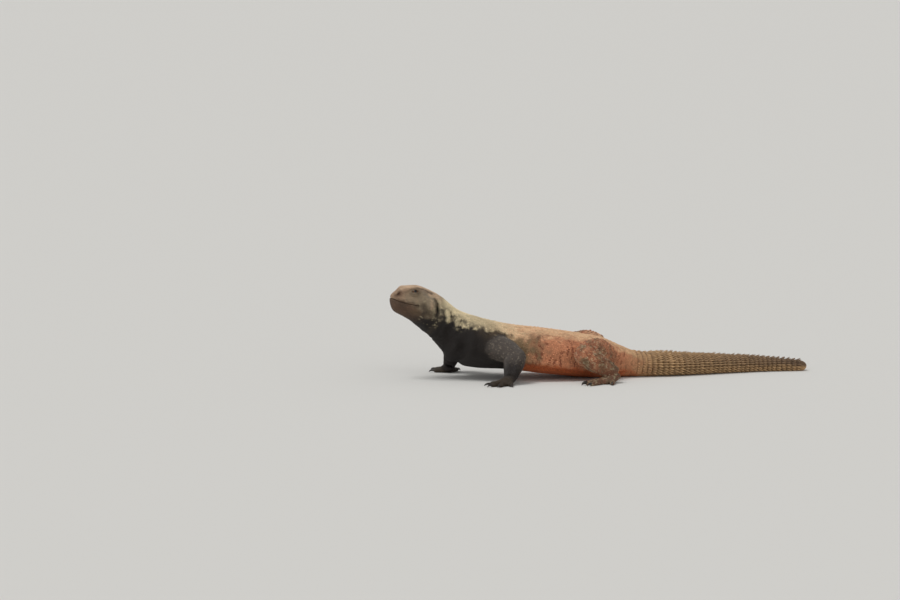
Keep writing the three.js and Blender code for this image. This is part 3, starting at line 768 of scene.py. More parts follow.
# Marks of the head, neck and shoulder: from and to as distance from the snout and degrees from the middle
# of the back, how far each spreads, its colour and how strong it is
MARKS = [
    ((6.8, 64), (7.6, 62), 3.3, NOSTRIL_BROWN, 0.95),
    # Painted shadow from the brow: a darker patch round the eye
    ((20, 50), (27, 50), 2.4, BROW_SHADOW, 0.5),
    # Painted shadow of the brow ridge, behind and above the eye
    ((25, 37), (30, 35), 1.9, UMBER, 0.75),
    ((30, 34), (37, 28), 2.6, UMBER, 0.85),
    ((4, 99), (18, 94), 2, UMBER, 0.4),
    ((25, 93), (29, 91), 1.3, UMBER, 0.6),
    ((26, 112), (30, 108), 4, OLIVE * 0.7, 0.6),
    ((34, 86), (38, 104), 3.2, UMBER, 0.85),
    ((39, 95), (46, 99), 3, UMBER, 0.8),
    ((31, 46), (39, 50), 2.2, ASH * 1.25, 0.5),
    ((39.5, 60), (42, 84), 1.1, TAN, 0.6),
    # Dark and cream stripes behind the ear, dark in the hollow and grooves, cream on the fold: partly the
    # neck's own bands, partly painted shade and light on the folds
    ((42, 46), (50, 90), 1.6, UMBER, 0.8),
    ((49.4, 72), (51, 92), 2.2, NIGHT, 0.75),
    ((46, 40), (53.5, 80), 1.3, CREAM, 0.6),
    ((51.8, 66), (57.5, 92), 1.5, NIGHT, 0.85),
    ((55.4, 62), (60.6, 86), 1.4, CREAM, 0.9),
    ((58.6, 54), (63.6, 76), 1.2, UMBER, 0.5),
    ((94, 20), (112, 40), 10, OLIVE, 0.38),
]


def marked(colour, s, angle, rough):
    for start, end, reach, tint, share in MARKS:
        away = line_distance(s, angle, start, end, MARKS_PER_DEGREE) / reach + 0.7 * rough
        colour = blend(colour, tint, share * bell(np.maximum(away, 0)))
    return colour


def head_side_paint(points, s, angle, colour, rough):
    """Cheeks with pale flecks, a jaw that darkens to the throat, and the marks of the head and neck, painted
    shadow under the brow among them.
    """
    cheek = band(s, 8, 20, 48, 58) * smooth(44, 58, angle)
    edge = spline([0, 26, 34, 42, 50, 60], [90, 90, 104, 108, 98, 88], s)
    jaw = blend(JAW, NIGHT, smooth(18, 46, s + 0.2 * (angle - 110)))
    fleck = (noise(points, 1.9, 13) > 0.64) * band(s, 26, 34, 52, 58)
    colour = layers(
        colour,
        (CHEEK, 0.75 * cheek),
        (jaw, smooth(-7, 7, angle - edge - 12 * rough) * (1 - smooth(50, 60, s))),
        (CREAM * 0.75, 0.55 * fleck * band(angle, 50, 66, 118, 134)),
    )
    return marked(colour, s, angle, rough)


def body_paint(points, s, angle):
    """Colour of the head, neck, trunk and tail, with painted light and shade on the neck folds and in the
    flank creases.
    """
    flat = sheet(s, angle)
    rough = noise(points, 5, 1) - 0.5
    fine = noise(points, 1.8, 2) - 0.5
    edge = spline([40, 54, 75, 106, 136, 165, 262, 300], [95, 86, 72, 53, 50, 43, 47, 90], s)
    wide = 7 + 7 * smooth(120, 160, s)
    on_flank = smooth(-wide, wide, angle - edge - (13 + wide) * rough - 10 * fine)
    net = lines(flat / [1, 1.4], 3.6, 0.24, 11) * band(s, 44, 52, 96, 126) * smooth(34, 62, angle)
    # Neck folds painted pale where they stand out and dark in the grooves: partly the neck's own cream and
    # dark marbling, partly painted light and shade
    folds = band(s, 50, 54, 74, 84) * band(angle, 44, 60, 84, 94)
    stand = relief(s, angle, 20) + 2.4 * rough + 2 * fine
    rough_s = s + 16 * rough
    belly = layers(NIGHT, (BELLY, smooth(134, 156, rough_s)), (STRAW, smooth(240, 292, rough_s)))
    colour = layers(
        back_paint(s, angle, flat),
        (flank_paint(s, flat, rough), on_flank * smooth(40, 56, s)),
        (NIGHT, 0.75 * net * (1 - on_flank)),
        (blend(NIGHT, CREAM, smooth(0.2, 1.6, stand)), 0.6 * folds),
        (belly, smooth(-8, 8, angle - 112 - 14 * rough) * smooth(46, 56, s)),
    )
    colour = head_side_paint(points, s, angle, colour, rough)
    bands = np.sin(s / 5.5 * math.pi) * smooth(262, 300, s)
    return colour * (1 + 0.28 * rough + 0.24 * fine + 0.08 * bands)[:, None]


def leg_paint(points, leg, along):
    """Colour of the legs, the forelegs dark with a grey band that is partly painted sheen, and the hind legs
    olive to orange.
    """
    rough = noise(points, 5, 21) - 0.5
    # Pale specks on single scales near the elbow
    pale_specks = noise(points, 1, 24) > 0.72
    arm = layers(
        NIGHT * 1.3,
        # A grey band down the foreleg: partly the arm's own grey, partly a painted sheen of reflected sky
        (SLATE, band(along + 0.3 * rough, 0.15, 0.5, 1.1, 1.8)),
        (UMBER * 0.7, smooth(2, 2.6, along)),
        (ASH, 0.6 * pale_specks * band(along, 0.2, 0.6, 1.2, 1.8)),
    )
    thigh = layers(
        OLIVE,
        (SALMON * 0.85, smooth(-0.35, 0.2, rough)),
        (BARK, smooth(1, 2.2, along)),
        (RUST * 0.8, 0.6 * lines(points, 4.5, 0.16, 23)),
        (CREAM * 0.8, 0.4 * (noise(points, 1.5, 22) > 0.66)),
    )
    return np.where(leg[:, None] < 2, arm, thigh) * (1 + 0.25 * rough)[:, None]


def paint(points, made):
    """Colour of the animal at points of its skin."""
    on_body = body_paint(points, made["s"], folded(made["angle"]))
    on_leg = leg_paint(points, made["leg"], made["along"])
    on_leg_share = smooth(0.1, 0.9, made["mix"] + 0.5 * (noise(points, 3, 25) - 0.5))
    upper_thigh = (made["leg"] >= 2) * (1 - smooth(0.05, 0.7, made["along"] + noise(points, 4, 26) - 0.5))
    on_leg_share = on_leg_share * (1 - 0.75 * upper_thigh)
    return np.clip(blend(on_body, on_leg, on_leg_share), DARKEST, 1)


def colour_in(made, colours):
    layer = made.data.color_attributes.new("Colour", "FLOAT_COLOR", "POINT")
    fill(layer.data, "color", np.concatenate([colours, np.ones((len(colours), 1))], 1))


def set_inputs(node, **values):
    """Set inputs of a shader node, their names with _ for each space."""
    for name, value in values.items():
        node.inputs[name.replace("_", " ")].default_value = value
    return node


def material(name, roughness, grain, bump, change=0.18, coat=0.0):
    """A finish that takes its colour from the mesh, uneven in shade and gloss, with a fine grain."""
    made = bpy.data.materials.new(name)
    made.use_nodes = True
    nodes = made.node_tree.nodes
    shader = set_inputs(nodes["Principled BSDF"], Coat_Weight=coat, Coat_Roughness=0.08)
    colour = nodes.new("ShaderNodeVertexColor")
    colour.layer_name = "Colour"
    where = nodes.new("ShaderNodeTexCoord")
    cloud = set_inputs(nodes.new("ShaderNodeTexNoise"), Scale=grain * 0.35, Detail=6)
    shade = set_inputs(nodes.new("ShaderNodeMapRange"), To_Min=1 - change, To_Max=1 + change)
    tint = nodes.new("ShaderNodeVectorMath")
    tint.operation = "SCALE"
    gloss = set_inputs(nodes.new("ShaderNodeMapRange"), To_Min=roughness - 0.1, To_Max=roughness + 0.1)
    pebble = set_inputs(nodes.new("ShaderNodeTexVoronoi"), Scale=grain)
    raised = set_inputs(nodes.new("ShaderNodeBump"), Strength=bump, Distance=0.0003)
    raised.invert = True
    for source, output, target, place in (
        (where, "Object", cloud, "Vector"),
        (where, "Object", pebble, "Vector"),
        (cloud, "Fac", shade, "Value"),
        (cloud, "Fac", gloss, "Value"),
        (colour, "Color", tint, 0),
        (shade, "Result", tint, "Scale"),
        (tint, "Vector", shader, "Base Color"),
        (gloss, "Result", shader, "Roughness"),
        (pebble, "Distance", raised, "Height"),
        (raised, "Normal", shader, "Normal"),
    ):
        made.node_tree.links.new(source.outputs[output], target.inputs[place])
    return made


def finished(made, finish):
    made.data.materials.append(finish)
    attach(made, "root")


# Painted shade: the skin's colour darkened where it shows between the scales, and darker still in the hollows
# of the mouth line, nostrils, ears and eye openings
SHADE_BETWEEN_SCALES = 0.7
SHADE_IN_HOLLOWS = 0.3
PARTS = [body_part()] + [part for leg in LEGS for part in leg_parts(leg)]
LIDS = [ball("eye", "lid", eye_centre(side), EYE["radius"] + LID) for side in (1, -1)]
skin = make_skin(PARTS, LIDS)
refine(skin)
skin_points = places(skin)
FIELDS = fields_of(skin_points, PARTS)
skin_points = carved(skin_points, normals(skin), FIELDS)
fill(skin.data.vertices, "co", skin_points * MM + SHIFT)
skin.data.update()
FIELDS["out"] = normals(skin)
FIELDS["lie"] = square(FIELDS["lie"], FIELDS["out"])
# Painted shade: darkest in the hollows, less dark between the scales
shade = np.where(FIELDS["bare"], SHADE_IN_HOLLOWS, SHADE_BETWEEN_SCALES)[:, None]
colour_in(skin, paint(skin_points, FIELDS) * shade)
finished(skin, material("skin", 0.72, 1500, 0.5))
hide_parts(*[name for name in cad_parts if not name.startswith("eye")])


# Scales are closed forms with corners given across, along and out from the root, and how light each is:
# painted shade darkens the foot of each scale and a painted highlight lightens its top
def stepped(levels, sides=6):
    """Rings (radius, height, shift along, shade) under a tip (height, shift along, shade), the shades being
    painted light on the scale's colour.
    """
    i = np.arange(sides)
    k, turn = (i + 1) % sides, i / sides * 2 * np.pi
    corners, shades = [], []
    for radius, height, shift, shade in levels[:-1]:
        ring = radius * np.cos(turn), radius * np.sin(turn) + shift, np.full(sides, height)
        corners.append(np.stack(ring, -1))
        shades += [shade] * sides
    height, shift, shade = levels[-1]
    corners.append(np.array([[0, shift, height]]))
    walls = [np.stack([i, k, k + sides, i + sides], -1) + sides * level for level in range(len(levels) - 2)]
    top = sides * (len(levels) - 2)
    tip = np.stack([i + top, k + top, np.full(sides, top + sides)], -1)
    return np.concatenate(corners), np.array(shades + [shade]), [i[None, ::-1], np.concatenate(walls), tip]


def keel():
    """A leaf with a ridge along it that rises to its point, with painted shade round its foot and a painted
    highlight on the ridge and point.
    """
    rim = [(0, -1), (0.8, -0.5), (0.9, 0.35), (0, 1.15), (-0.9, 0.35), (-0.8, -0.5)]
    corners = [(x, y, -0.5) for x, y in rim]
    corners[3] = (0, 1.15, 0.35)
    corners += [(0, -0.55, 0.55), (0, 0.8, 1)]
    threes = [(0, 1, 6), (2, 3, 7), (3, 4, 7), (5, 0, 6)]
    fours = [(1, 2, 7, 6), (4, 5, 6, 7)]
    # Painted shade round the foot and a painted highlight on the ridge and the point
    shades = np.array([0.6, 0.6, 0.6, 0.95, 0.6, 0.6, 0.95, 1.15])
    return np.array(corners), shades, [np.arange(6)[None, ::-1], np.array(fours), np.array(threes)]


SIDES = 8
FORM = {
    "granule": stepped([(1, -0.35, 0, 0.45), (0.76, 0.6, 0, 0.95), (1, 0, 1.1)], SIDES),
    "plate": stepped([(1, -0.4, 0, 0.45), (0.86, 0.62, 0, 0.9), (1, 0, 1.05)], SIDES),
    "keel": keel(),
    # Spines: the dark roots and pale tips are partly their own colour, partly painted shade and highlight
    "spine": stepped([(1, -0.12, 0, 0.55), (0.66, 0.42, 0.12, 0.85), (1, 0, 1.25)]),
}
FORM_NUMBER = {name: number for number, name in enumerate(FORM)}

FACES = triples(skin.data.polygons, "vertices", np.int32)
SKIN_TREE = BVHTree.FromPolygons(skin_points.tolist(), FACES.tolist())


def taken(made, which):
    return {name: values[which] for name, values in made.items()}


def stacked(sets):
    return {name: np.concatenate([made[name] for made in sets]) for name in sets[0]}


def landed(points, most):
    """Roots on the skin nearest to the points, where it is no further off than the most given."""
    at, face, away = nearest(SKIN_TREE, points)
    corners = FACES[face]
    corner = norm(skin_points[corners] - at[:, None]).argmin(1)
    made = taken(FIELDS, corners[np.arange(len(at)), corner]) | {"point": at}
    return taken(made, (away < most) & ~made["bare"])


def scattered(count):
    """Roots at random over the whole skin, closer together on the head."""
    a, b, c = (skin_points[FACES[:, i]] for i in range(3))
    weight = norm(np.cross(b - a, c - a)) * np.where(FIELDS["s"][FACES[:, 0]] < 60, 6, 1)
    face = rng.choice(len(FACES), count, p=weight / weight.sum())
    u, v = rng.random((2, count))
    u, v = np.where(u + v > 1, 1 - u, u)[:, None], np.where(u + v > 1, 1 - v, v)[:, None]
    made = taken(FIELDS, FACES[face, 0]) | {"point": a[face] * (1 - u - v) + b[face] * u + c[face] * v}
    return taken(made, ~made["bare"])


ROW_STEP = 0.87
SCATTERED = 330000


def distances(path):
    """How far each point of a path is from its start."""
    return np.concatenate([[0], np.cumsum(norm(np.diff(path, axis=0)))])


def evenly(path, first, pitch):
    """Points along a path from a first distance on, a pitch apart."""
    run = distances(path)
    at = np.arange(first, run[-1], pitch)
    return np.stack([np.interp(at, run, path[:, i]) for i in range(3)], -1)


def lattice(part, pitch, start=0, reach=180, rows=(0, 1)):
    """Staggered points over a part, counted both ways round it from a start angle."""
    count, sides = part.points.shape[:2]
    run = distances(part.points.mean(1))
    steps = np.arange(pitch / 2, run[-1], pitch * ROW_STEP)
    row = np.interp(steps, run, np.arange(count))
    made = []
    for number, at in enumerate(row):
        if not rows[0] <= at / (count - 1) <= rows[1]:
            continue
        low = min(int(at), count - 2)
        ring = part.points[low] * (1 - at + low) + part.points[low + 1] * (at - low)
        for way in (1, -1):
            turn = (round(start / 360 * sides) + way * np.arange(round(reach / 360 * sides) + 1)) % sides
            first = 0.5 if number % 2 else (way < 0)
            made.append(evenly(ring[turn], first * pitch, pitch))
    return np.concatenate(made)


# Scales: cell of the grid that finds them, share of their spacing kept clear, unevenness, neighbours that
# each is fitted to, how far it swells past the middle between them and at most, and its patch of the unwrap
CELL = 2.4
CROWDING = 0.82
SCALE_JITTER = 0.1
NEIGHBOURS = 9
SWELL = 1.06
WIDEST = 0.72
PATCH = 0.003


def spaced(points, apart):
    """Which points to keep, in order, so that each is clear of the ones kept before it."""
    grid = {}
    around = list(itertools.product((-1, 0, 1), repeat=3))

    def clear(x, y, z, reach, cx, cy, cz):
        for dx, dy, dz in around:
            for px, py, pz, other in grid.get((cx + dx, cy + dy, cz + dz), ()):
                least = (reach + other) / 2
                if (px - x) ** 2 + (py - y) ** 2 + (pz - z) ** 2 < least * least:
                    return False
        return True

    keep = np.zeros(len(points), bool)
    cells = np.floor(points / CELL).astype(int).tolist()
    for i, (point, reach, cell) in enumerate(zip(points.tolist(), apart.tolist(), cells)):
        if clear(*point, reach, *cell):
            keep[i] = True
            grid.setdefault(tuple(cell), []).append((*point, reach))
    return keep


# Zones of the body and then of the legs: spacing, height, length for its width and form of their scales
ZONES = {
    "back": (1.25, 0.38, 1.05, "granule"),
    "crown": (1.75, 0.4, 1.05, "plate"),
    "face": (1.3, 0.4, 1, "plate"),
    "neck": (1.2, 0.45, 1, "granule"),
    "belly": (1.9, 0.32, 1.1, "plate"),
    "tail": (1.5, 0.5, 1.25, "keel"),
    "arm": (1.45, 0.45, 1.2, "keel"),
    "thigh": (1.5, 0.5, 1.2, "keel"),
    "foot": (1.2, 0.4, 1.15, "keel"),
}
LEAST_BY_EYE = {"spacing": 0.85, "high": 0.2}


def zone_numbers(made):
    """Number of the zone in ZONES that each root belongs to."""
    s, angle = made["s"], folded(made["angle"])
    back, crown, face, neck, belly, tail, arm, thigh, foot = range(len(ZONES))
    limits = [s >= 262, (s >= 92) & (angle > 116), s >= 92, s >= 46, angle >= 48]
    on_body = np.select(limits, [tail, belly, back, neck, face], crown)
    on_leg = np.select([made["along"] >= 2.2, made["leg"] >= 2], [foot, thigh], arm)
    return np.where(made["mix"] > 0.5, on_leg, on_body)


def dressed(made):
    """Spacing, half sizes and form of plain scales by the zone of their roots, finer by the eyes."""
    table = np.array([(*sizes, FORM_NUMBER[form]) for *sizes, form in ZONES.values()])
    spacing, high, long, form = table[zone_numbers(made)].T
    for side in (1, -1):
        share = smooth(5.6, 8, norm(made["point"] - eye_centre(side)))
        spacing = LEAST_BY_EYE["spacing"] + (spacing - LEAST_BY_EYE["spacing"]) * share
        high = LEAST_BY_EYE["high"] + (high - LEAST_BY_EYE["high"]) * share
    half = spacing * np.where(made["s"] < 50, 0.68, 0.6)
    return made | {"spacing": spacing, "form": form, "half": np.stack([half, half * long, high], -1)}


def rooted(points, most=1.3):
    return dressed(landed(points, most))


def shaped(made, half, spacing, form):
    """Scales with half sizes, spacing and form in place of those of their zone."""
    made["half"][:], made["spacing"][:], made["form"][:] = half, spacing, FORM_NUMBER[form]
    return made


def body_rows(start, end):
    """Shares of the body's rows that lie between two distances from the snout."""
    along = PARTS[0].along[:, 0]
    return np.searchsorted(along, (start, end)) / (len(along) - 1)


def loose(points, away):
    """Points moved a little off their rows."""
    return points + rng.uniform(-away, away, points.shape)


def plain_scales():
    """Rows over back, belly, legs and tail, and scattered scales wherever these leave bare skin."""
    first, last = body_rows(50, 264)
    sets = [rooted(loose(lattice(PARTS[0], ZONES["back"][0], 0, 118, (first, last)), 0.14))]
    sets.append(rooted(loose(lattice(PARTS[0], ZONES["belly"][0], 180, 60, (first, last)), 0.12)))
    sets.append(rooted(lattice(PARTS[0], ZONES["tail"][0], 0, 180, (last, 1))))
    for part in PARTS[1:]:
        zone = "foot" if part.kind in ("palm", "toe") else "arm" if part.name.startswith("fore") else "thigh"
        made = rooted(loose(lattice(part, ZONES[zone][0]), 0.22))
        sets.append(taken(made, made["mix"] > 0.5))
    sets.append(dressed(scattered(SCATTERED)))
    return stacked(sets)


def pointed(made, direction):
    """Turns scales to stand out along a direction."""
    made["lie"], made["out"] = square(made["out"], direction), direction


def leaning(made, degrees):
    """Turns scales from upright towards the way that they point, by the degrees given for each."""
    lean = np.radians(degrees)[:, None]
    pointed(made, unit(made["out"] * np.cos(lean) + made["lie"] * np.sin(lean)))


KNOB_PITCH = {"back": 5.4, "legs": 5}
KNOBS_KEPT = 0.7
KNOB_LEAN = 38.0


def tubercles():
    """Low knobs in rows across the back and flanks, and larger ones on the thighs and shanks."""
    back = rooted(loose(lattice(PARTS[0], KNOB_PITCH["back"], 0, 104, body_rows(104, 258)), 1.6), 3)
    back = taken(back, (back["mix"] < 0.2) & (rng.random(len(back["s"])) < KNOBS_KEPT))
    hind = [part for part in PARTS[1:] if part.name.startswith("hind") and part.kind in ("upper", "lower")]
    legs = stacked([rooted(loose(lattice(part, KNOB_PITCH["legs"]), 1), 2.5) for part in hind])
    legs = taken(legs, (legs["mix"] > 0.8) & (legs["out"][:, 2] > -0.2))
    leaning(legs, np.full(len(legs["s"]), KNOB_LEAN))
    for made, half, high, form in ((back, 1.1, 0.8, "granule"), (legs, 1.2, 1.35, "spine")):
        jitter = rng.uniform(0.65, 1.1, (len(made["s"]), 1))
        shaped(made, jitter * [half, half * 1.2, high], half * 1.9, form)
    return stacked([back, legs])


def lips():
    """A row of small plates along each lip."""
    sets = []
    angles = np.arange(40, 140, 0.5)
    for height, length in ((1.15, 1.7), (-1.1, 1.6)):
        path = []
        for side, stops in ((1, np.arange(29, 0.3, -0.3)), (-1, np.arange(0.3, 29, 0.3))):
            for s in stops:
                points = body(s, angles * side)[0]
                path.append(points[np.abs(mouth_height(points, s) - height).argmin()])
        made = rooted(evenly(np.array(path), length / 2, length), 3)
        sets.append(shaped(made, (0.72, length * 0.56, 0.42), 1.3, "plate"))
    return stacked(sets)


def lid_rim(side):
    """Beads along the edges of the lids of one eye."""
    turn = np.radians(np.arange(0, 360, 8))
    x = np.sign(np.cos(turn)) * np.abs(np.cos(turn)) ** 1.25 * EYE["long"] * 1.04
    x, y = turned_by(x, np.sin(turn) * EYE["high"] * 1.1, EYE["turn"])
    point, back, up, out = square_to(EYE, side)
    away = point + x[:, None] * back + y[:, None] * up - eye_centre(side)
    flat = away - np.outer(away @ out, out)
    high = np.sqrt(np.maximum((EYE["radius"] + LID) ** 2 - np.sum(flat**2, 1), 1))
    made = rooted(eye_centre(side) + flat + high[:, None] * out, 2.5)
    return shaped(made, (0.36, 0.36, 0.32), 0.5, "granule")


def ear_lobules(side):
    """Pointed scales along the front edge of one ear."""
    along = np.array([-0.7, -0.42, -0.14, 0.14, 0.42, 0.7]) * EAR["tall"]
    ahead = -(EAR["wide"] * np.sqrt(1 - (along / EAR["tall"]) ** 2) + 0.9)
    x, y = turned_by(ahead, along, EAR["turn"])
    point, _, _, up, back = spot(EAR, side)
    edge = body_place(point + x[:, None] * back + y[:, None] * up, EAR["at"])
    made = rooted(body(*edge)[0], 4)
    pointed(made, unit(made["lie"] + 0.45 * made["out"]))
    return shaped(made, (0.78, 0.5, 1.7), 1, "spine")


WHORL = {"first": 267, "last": 449, "pitch": 5.4, "width": 2.7, "lowest": 118, "lean": 54}
TAIL_SPINE = {"root": 6.6, "tip": 4.2, "sideways": 1.25}
FEWEST = 7


def whorls():
    """Rings of spines round the tail, largest along its sides, pointing back and out."""
    rings = []
    first, last, lowest = WHORL["first"], WHORL["last"], WHORL["lowest"]
    for s in np.arange(first, last, WHORL["pitch"]):
        *_, wide, above, _ = section(s)
        share = (s - first) / (last - first)
        girth = (wide + above) / 2 * math.radians(2 * lowest)
        count = max(FEWEST, round(girth / (WHORL["width"] * (1 - 0.25 * share))))
        rings += [(s, angle, share, girth / count) for angle in np.linspace(-lowest, lowest, count)]
    s, angle, share, apart = np.array(rings).T
    made = rooted(body(s, angle)[0], 3)
    sideways = np.abs(np.sin(np.radians(angle)))
    length = TAIL_SPINE["root"] + (TAIL_SPINE["tip"] - TAIL_SPINE["root"]) * share
    length = length * (1 + (TAIL_SPINE["sideways"] - 1) * sideways) * rng.uniform(0.88, 1.08, len(s))
    length = length * (0.3 + 0.7 * smooth(0, 0.14, share))
    leaning(made, WHORL["lean"] + rng.uniform(-4, 4, len(s)))
    return shaped(made, np.stack([apart * 0.56, apart * 0.5, length], -1), apart * 0.75, "spine")


def all_scales():
    sets = [lid_rim(1), lid_rim(-1), lips(), ear_lobules(1), ear_lobules(-1)]
    made = stacked(sets + [whorls(), tubercles(), plain_scales()])
    return taken(made, spaced(made["point"], made["spacing"] * CROWDING))


def surrounded(made):
    """Adds the way from each scale to those nearest to it, and its own share of that way."""
    tree = KDTree(len(made["point"]))
    for i, point in enumerate(made["point"]):
        tree.insert(point, i)
    tree.balance()
    found = np.array([[hit[1] for hit in tree.find_n(p, NEIGHBOURS + 1)] for p in made["point"]])[:, 1:]
    made["around"] = made["point"][found] - made["point"][:, None]
    made["share"] = made["spacing"][:, None] / (made["spacing"][:, None] + made["spacing"][found])


def fitted(made, own, x, y):
    """How far round scales reach before they meet their neighbours, for every corner of the form."""
    around = made["around"][own]
    flat = np.stack([dot(around, axis[own, None]) for axis in (x, y)], -1)
    turn = np.arange(SIDES) / SIDES * 2 * np.pi
    towards = unit(flat) @ np.stack([np.cos(turn), np.sin(turn)])
    meets = (norm(flat) * made["share"][own])[..., None] / np.maximum(towards, 0.1)
    spacing = made["spacing"][own, None]
    reach = np.clip(np.where(towards > 0.15, meets, 9).min(1) * SWELL, 0.25 * spacing, WIDEST * spacing)
    return np.concatenate([reach, reach, reach.mean(1, keepdims=True)], 1)


def stood(made):
    """Directions across, along and out of each scale, turned a little at random."""
    z = made["out"]
    x = unit(np.cross(made["lie"], z))
    y = np.cross(z, x)
    turn = rng.uniform(-0.14, 0.14, len(z))[:, None]
    return x * np.cos(turn) + y * np.sin(turn), y * np.cos(turn) - x * np.sin(turn), z


def coat_piece(name, made, finish):
    """One mesh of closed scales, each painted like the skin at its root, with painted shade at its foot and a
    painted highlight on top, and mapped to a patch there.
    """
    rows, faces, smooths, count = [], [], [], 0
    axes = stood(made)
    half = made["half"] * rng.uniform(1 - SCALE_JITTER, 1 + SCALE_JITTER, made["spacing"][:, None].shape)
    colour = paint(made["point"], made) * rng.uniform(0.88, 1.12, made["spacing"][:, None].shape)
    for number, (form, (corners, shade, polygons)) in enumerate(FORM.items()):
        own = np.nonzero(made["form"] == number)[0]
        scaled = corners * half[own, None]
        if form in ("granule", "plate"):
            scaled[..., :2] = corners[:, :2] * fitted(made, own, *axes[:2])[..., None]
        away = sum(scaled[..., i, None] * axis[own, None] for i, axis in enumerate(axes))
        patch = made["uv"][own, None] + corners[:, :2] * PATCH / 2
        # The skin's colour times each corner's painted light, darker at the foot and lighter on top
        shades = colour[own, None] * shade[:, None]
        rows.append(np.concatenate([made["point"][own, None] + away, shades, patch], -1).reshape(-1, 8))
        starts = count + np.arange(len(own))[:, None, None] * len(corners)
        for polygon in polygons:
            faces.append((polygon + starts).reshape(-1, polygon.shape[1]))
            smooths.append(np.full(len(faces[-1]), form != "keel"))
        count += len(rows[-1])
    vertices, shades, patches = np.split(np.concatenate(rows), [3, 6], 1)
    vertices[:, 2] = np.maximum(vertices[:, 2], FLAT / 2)
    piece = mesh_object(name, vertices, faces, np.concatenate(smooths))
    colour_in(piece, np.clip(shades, DARKEST, 1))
    layer = piece.data.uv_layers.new(name="OFBake")
    fill(layer.data, "uv", patches[np.concatenate([polygon.ravel() for polygon in faces])])
    finished(piece, finish)


def unwrapped(made):
    """Place of each root on a flat unwrap: the body below, each leg in a strip above."""
    on_body = np.stack([0.01 + made["s"] / BODY_END * 0.98, 0.01 + (made["angle"] % 360) / 360 * 0.46], -1)
    strip = 0.5 + made["leg"] * 0.122
    on_leg = np.stack([0.01 + made["along"] / 4 * 0.98, strip + (made["turn"] % 360) / 360 * 0.11], -1)
    return np.where(made["mix"][:, None] > 0.5, on_leg, on_body)


REGIONS = ("head", "neck", "body", "tail", "foreleg", "hindleg")
REGION_ENDS = (50, 92, 264)
MOST_TRIANGLES = 190000


def dress():
    made = all_scales()
    made["uv"] = unwrapped(made)
    surrounded(made)
    s = made["s"]
    region = np.searchsorted(REGION_ENDS, s, side="right")
    region = np.where(made["mix"] > 0.5, 4 + (made["leg"] >= 2), region)
    triangles = [sum(len(f) * (f.shape[1] - 2) for f in faces) for _, _, faces in FORM.values()]
    weight = np.array(triangles)[made["form"].astype(int)]
    finish = material("scale", 0.62, 2500, 0.25)
    for number, name in enumerate(REGIONS):
        own = np.nonzero(region == number)[0]
        own = own[np.argsort(s[own] + 1000 * (made["leg"][own] * (number > 3)), kind="stable")]
        piece = (np.cumsum(weight[own]) / MOST_TRIANGLES).astype(int)
        for index in range(piece[-1] + 1):
            coat_piece(f"scales_{name}_{index + 1}", taken(made, own[piece == index]), finish)


dress()

IRIS = tone(92, 58, 34)
PUPIL = tone(6, 5, 6)
EYE_RIM = tone(40, 28, 20)


def eyeball(side, side_name):
    """A ball with pupil, iris and rim as rings round the way it looks, in degrees from its middle."""
    look = spot(EYE, side)[1]
    vertices, faces = ball("eye", "eye", np.zeros(3), EYE["radius"], look).mesh()
    eye = mesh_object(f"eyeball_{side_name}", vertices + eye_centre(side), faces)
    off_axis = np.degrees(np.arccos(np.clip(unit(vertices) @ look, -1, 1)))
    colour_in(eye, layers(PUPIL, (IRIS, smooth(17, 19, off_axis)), (EYE_RIM, smooth(30, 46, off_axis))))
    finished(eye, material(f"eye_{side_name}", 0.16, 900, 0.01, 0.1, 0.2))
    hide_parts(f"eye_{side_name}")


eyeball(1, "left")
eyeball(-1, "right")

CLAW = tone(52, 42, 36)
CLAW_TIP = tone(26, 22, 20)
NAIL = ((0, 0.5, 1), np.array([1.5, 1.1, 0.3]), np.array([1.2, 0.8, 0.25]))


def claws():
    """Horn hooks at the ends of the toes, deep at the root and thin at the point."""
    parts = []
    for leg in LEGS:
        thick, claw = LEGS[leg][0]["thick"], LEGS[leg][0]["claw"]
        for root, turned, reach in toes_of(leg):
            steps = (reach - 1.5, thick * 0.8), (reach + claw * 0.5, thick * 0.95), (reach + claw, 0.5)
            parts.append(tube(leg, "claw", ahead_of(root, turned, *steps), UP, NAIL, 12, 12))
    vertices, faces = joined(parts)
    vertices[:, 2] = np.maximum(vertices[:, 2], FLAT)
    piece = mesh_object("claws", vertices, faces)
    share = np.concatenate([np.append(part.along.ravel(), (0, 1)) for part in parts])
    colour_in(piece, blend(CLAW, CLAW_TIP, share))
    finished(piece, material("claw", 0.4, 1200, 0.15, 0.15))


claws()

# Camera
VIEW_AZIMUTH = 82
VIEW_ELEVATION = 6
LENS = 300
SENSOR = 36
MM_PER_PIXEL = 1.034
PICTURE = (900, 600)
GROUND_PIXEL = (545, 377)
FLOOR_REACH = 40
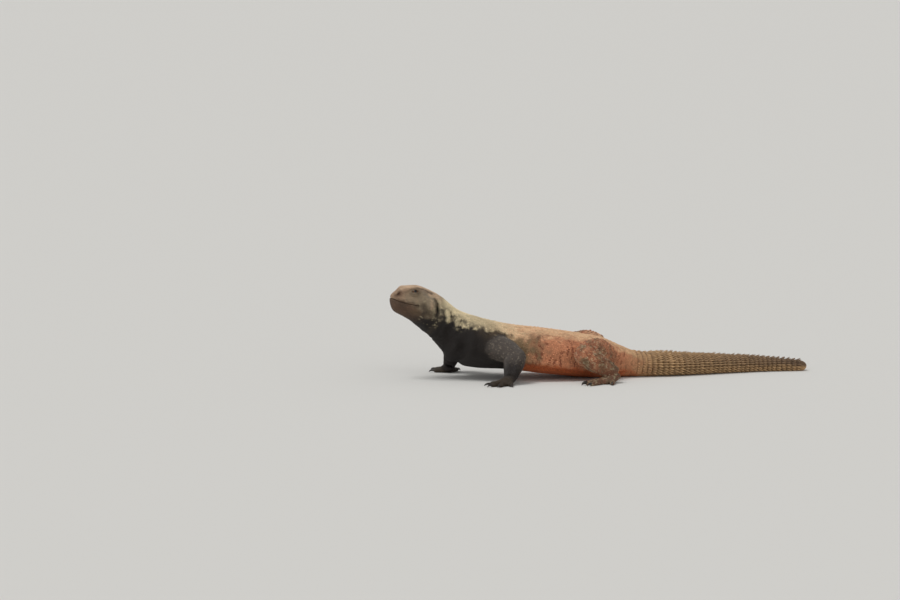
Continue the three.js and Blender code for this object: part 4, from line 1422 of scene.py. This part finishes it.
# For each lamp: name, where the light comes from, spread in degrees, strength, whether it shows in gloss
LAMPS = [("key", (0.1, -0.6, 1.4), 26, 1.5, True), ("fill", (1.6, 0.1, 0.9), 50, 0.62, False)]
WORLD_LIGHT = 0.52

a, e = math.radians(VIEW_AZIMUTH), math.radians(VIEW_ELEVATION)
right = np.array([math.cos(a), math.sin(a), 0])
towards = np.array([-math.sin(a) * math.cos(e), math.cos(a) * math.cos(e), -math.sin(e)])
aim = right * (PICTURE[0] / 2 - GROUND_PIXEL[0]) * MM_PER_PIXEL
aim = aim + UP * (GROUND_PIXEL[1] - PICTURE[1] / 2) * MM_PER_PIXEL / math.cos(e)
distance = PICTURE[0] * MM_PER_PIXEL * LENS / SENSOR
camera = placed("camera", bpy.data.cameras.new("camera"))
camera.data.lens, camera.data.sensor_width = LENS, SENSOR
camera.data.clip_start, camera.data.clip_end = 0.1, 200
camera.location = (aim - towards * distance) * MM + SHIFT
camera.rotation_euler = Vector(towards).to_track_quat("-Z", "Y").to_euler()
bpy.context.scene.camera = camera

floor = placed("floor", bpy.data.meshes.new("floor"))
corners = [(x * FLOOR_REACH, y * FLOOR_REACH, 0) for x, y in ((-1, -1), (1, -1), (1, 1), (-1, 1))]
floor.data.from_pydata(corners, [], [(0, 1, 2, 3)])
floor_finish = bpy.data.materials.new("floor")
floor_finish.use_nodes = True
shader = floor_finish.node_tree.nodes["Principled BSDF"]
set_inputs(shader, Base_Color=(0.66, 0.65, 0.62, 1), Roughness=0.9)
floor.data.materials.append(floor_finish)

world = bpy.data.worlds.new("world")
world.use_nodes = True
set_inputs(world.node_tree.nodes["Background"], Color=(0.8, 0.8, 0.8, 1), Strength=WORLD_LIGHT)
bpy.context.scene.world = world
for name, place, spread, strength, mirrored in LAMPS:
    lamp = placed(name, bpy.data.lights.new(name, "SUN"))
    lamp.data.angle, lamp.data.energy = math.radians(spread), strength
    lamp.location, lamp.visible_glossy = place, mirrored
    lamp.rotation_euler = (-Vector(place)).to_track_quat("-Z", "Y").to_euler()
bpy.context.scene.view_settings.view_transform = "Standard"
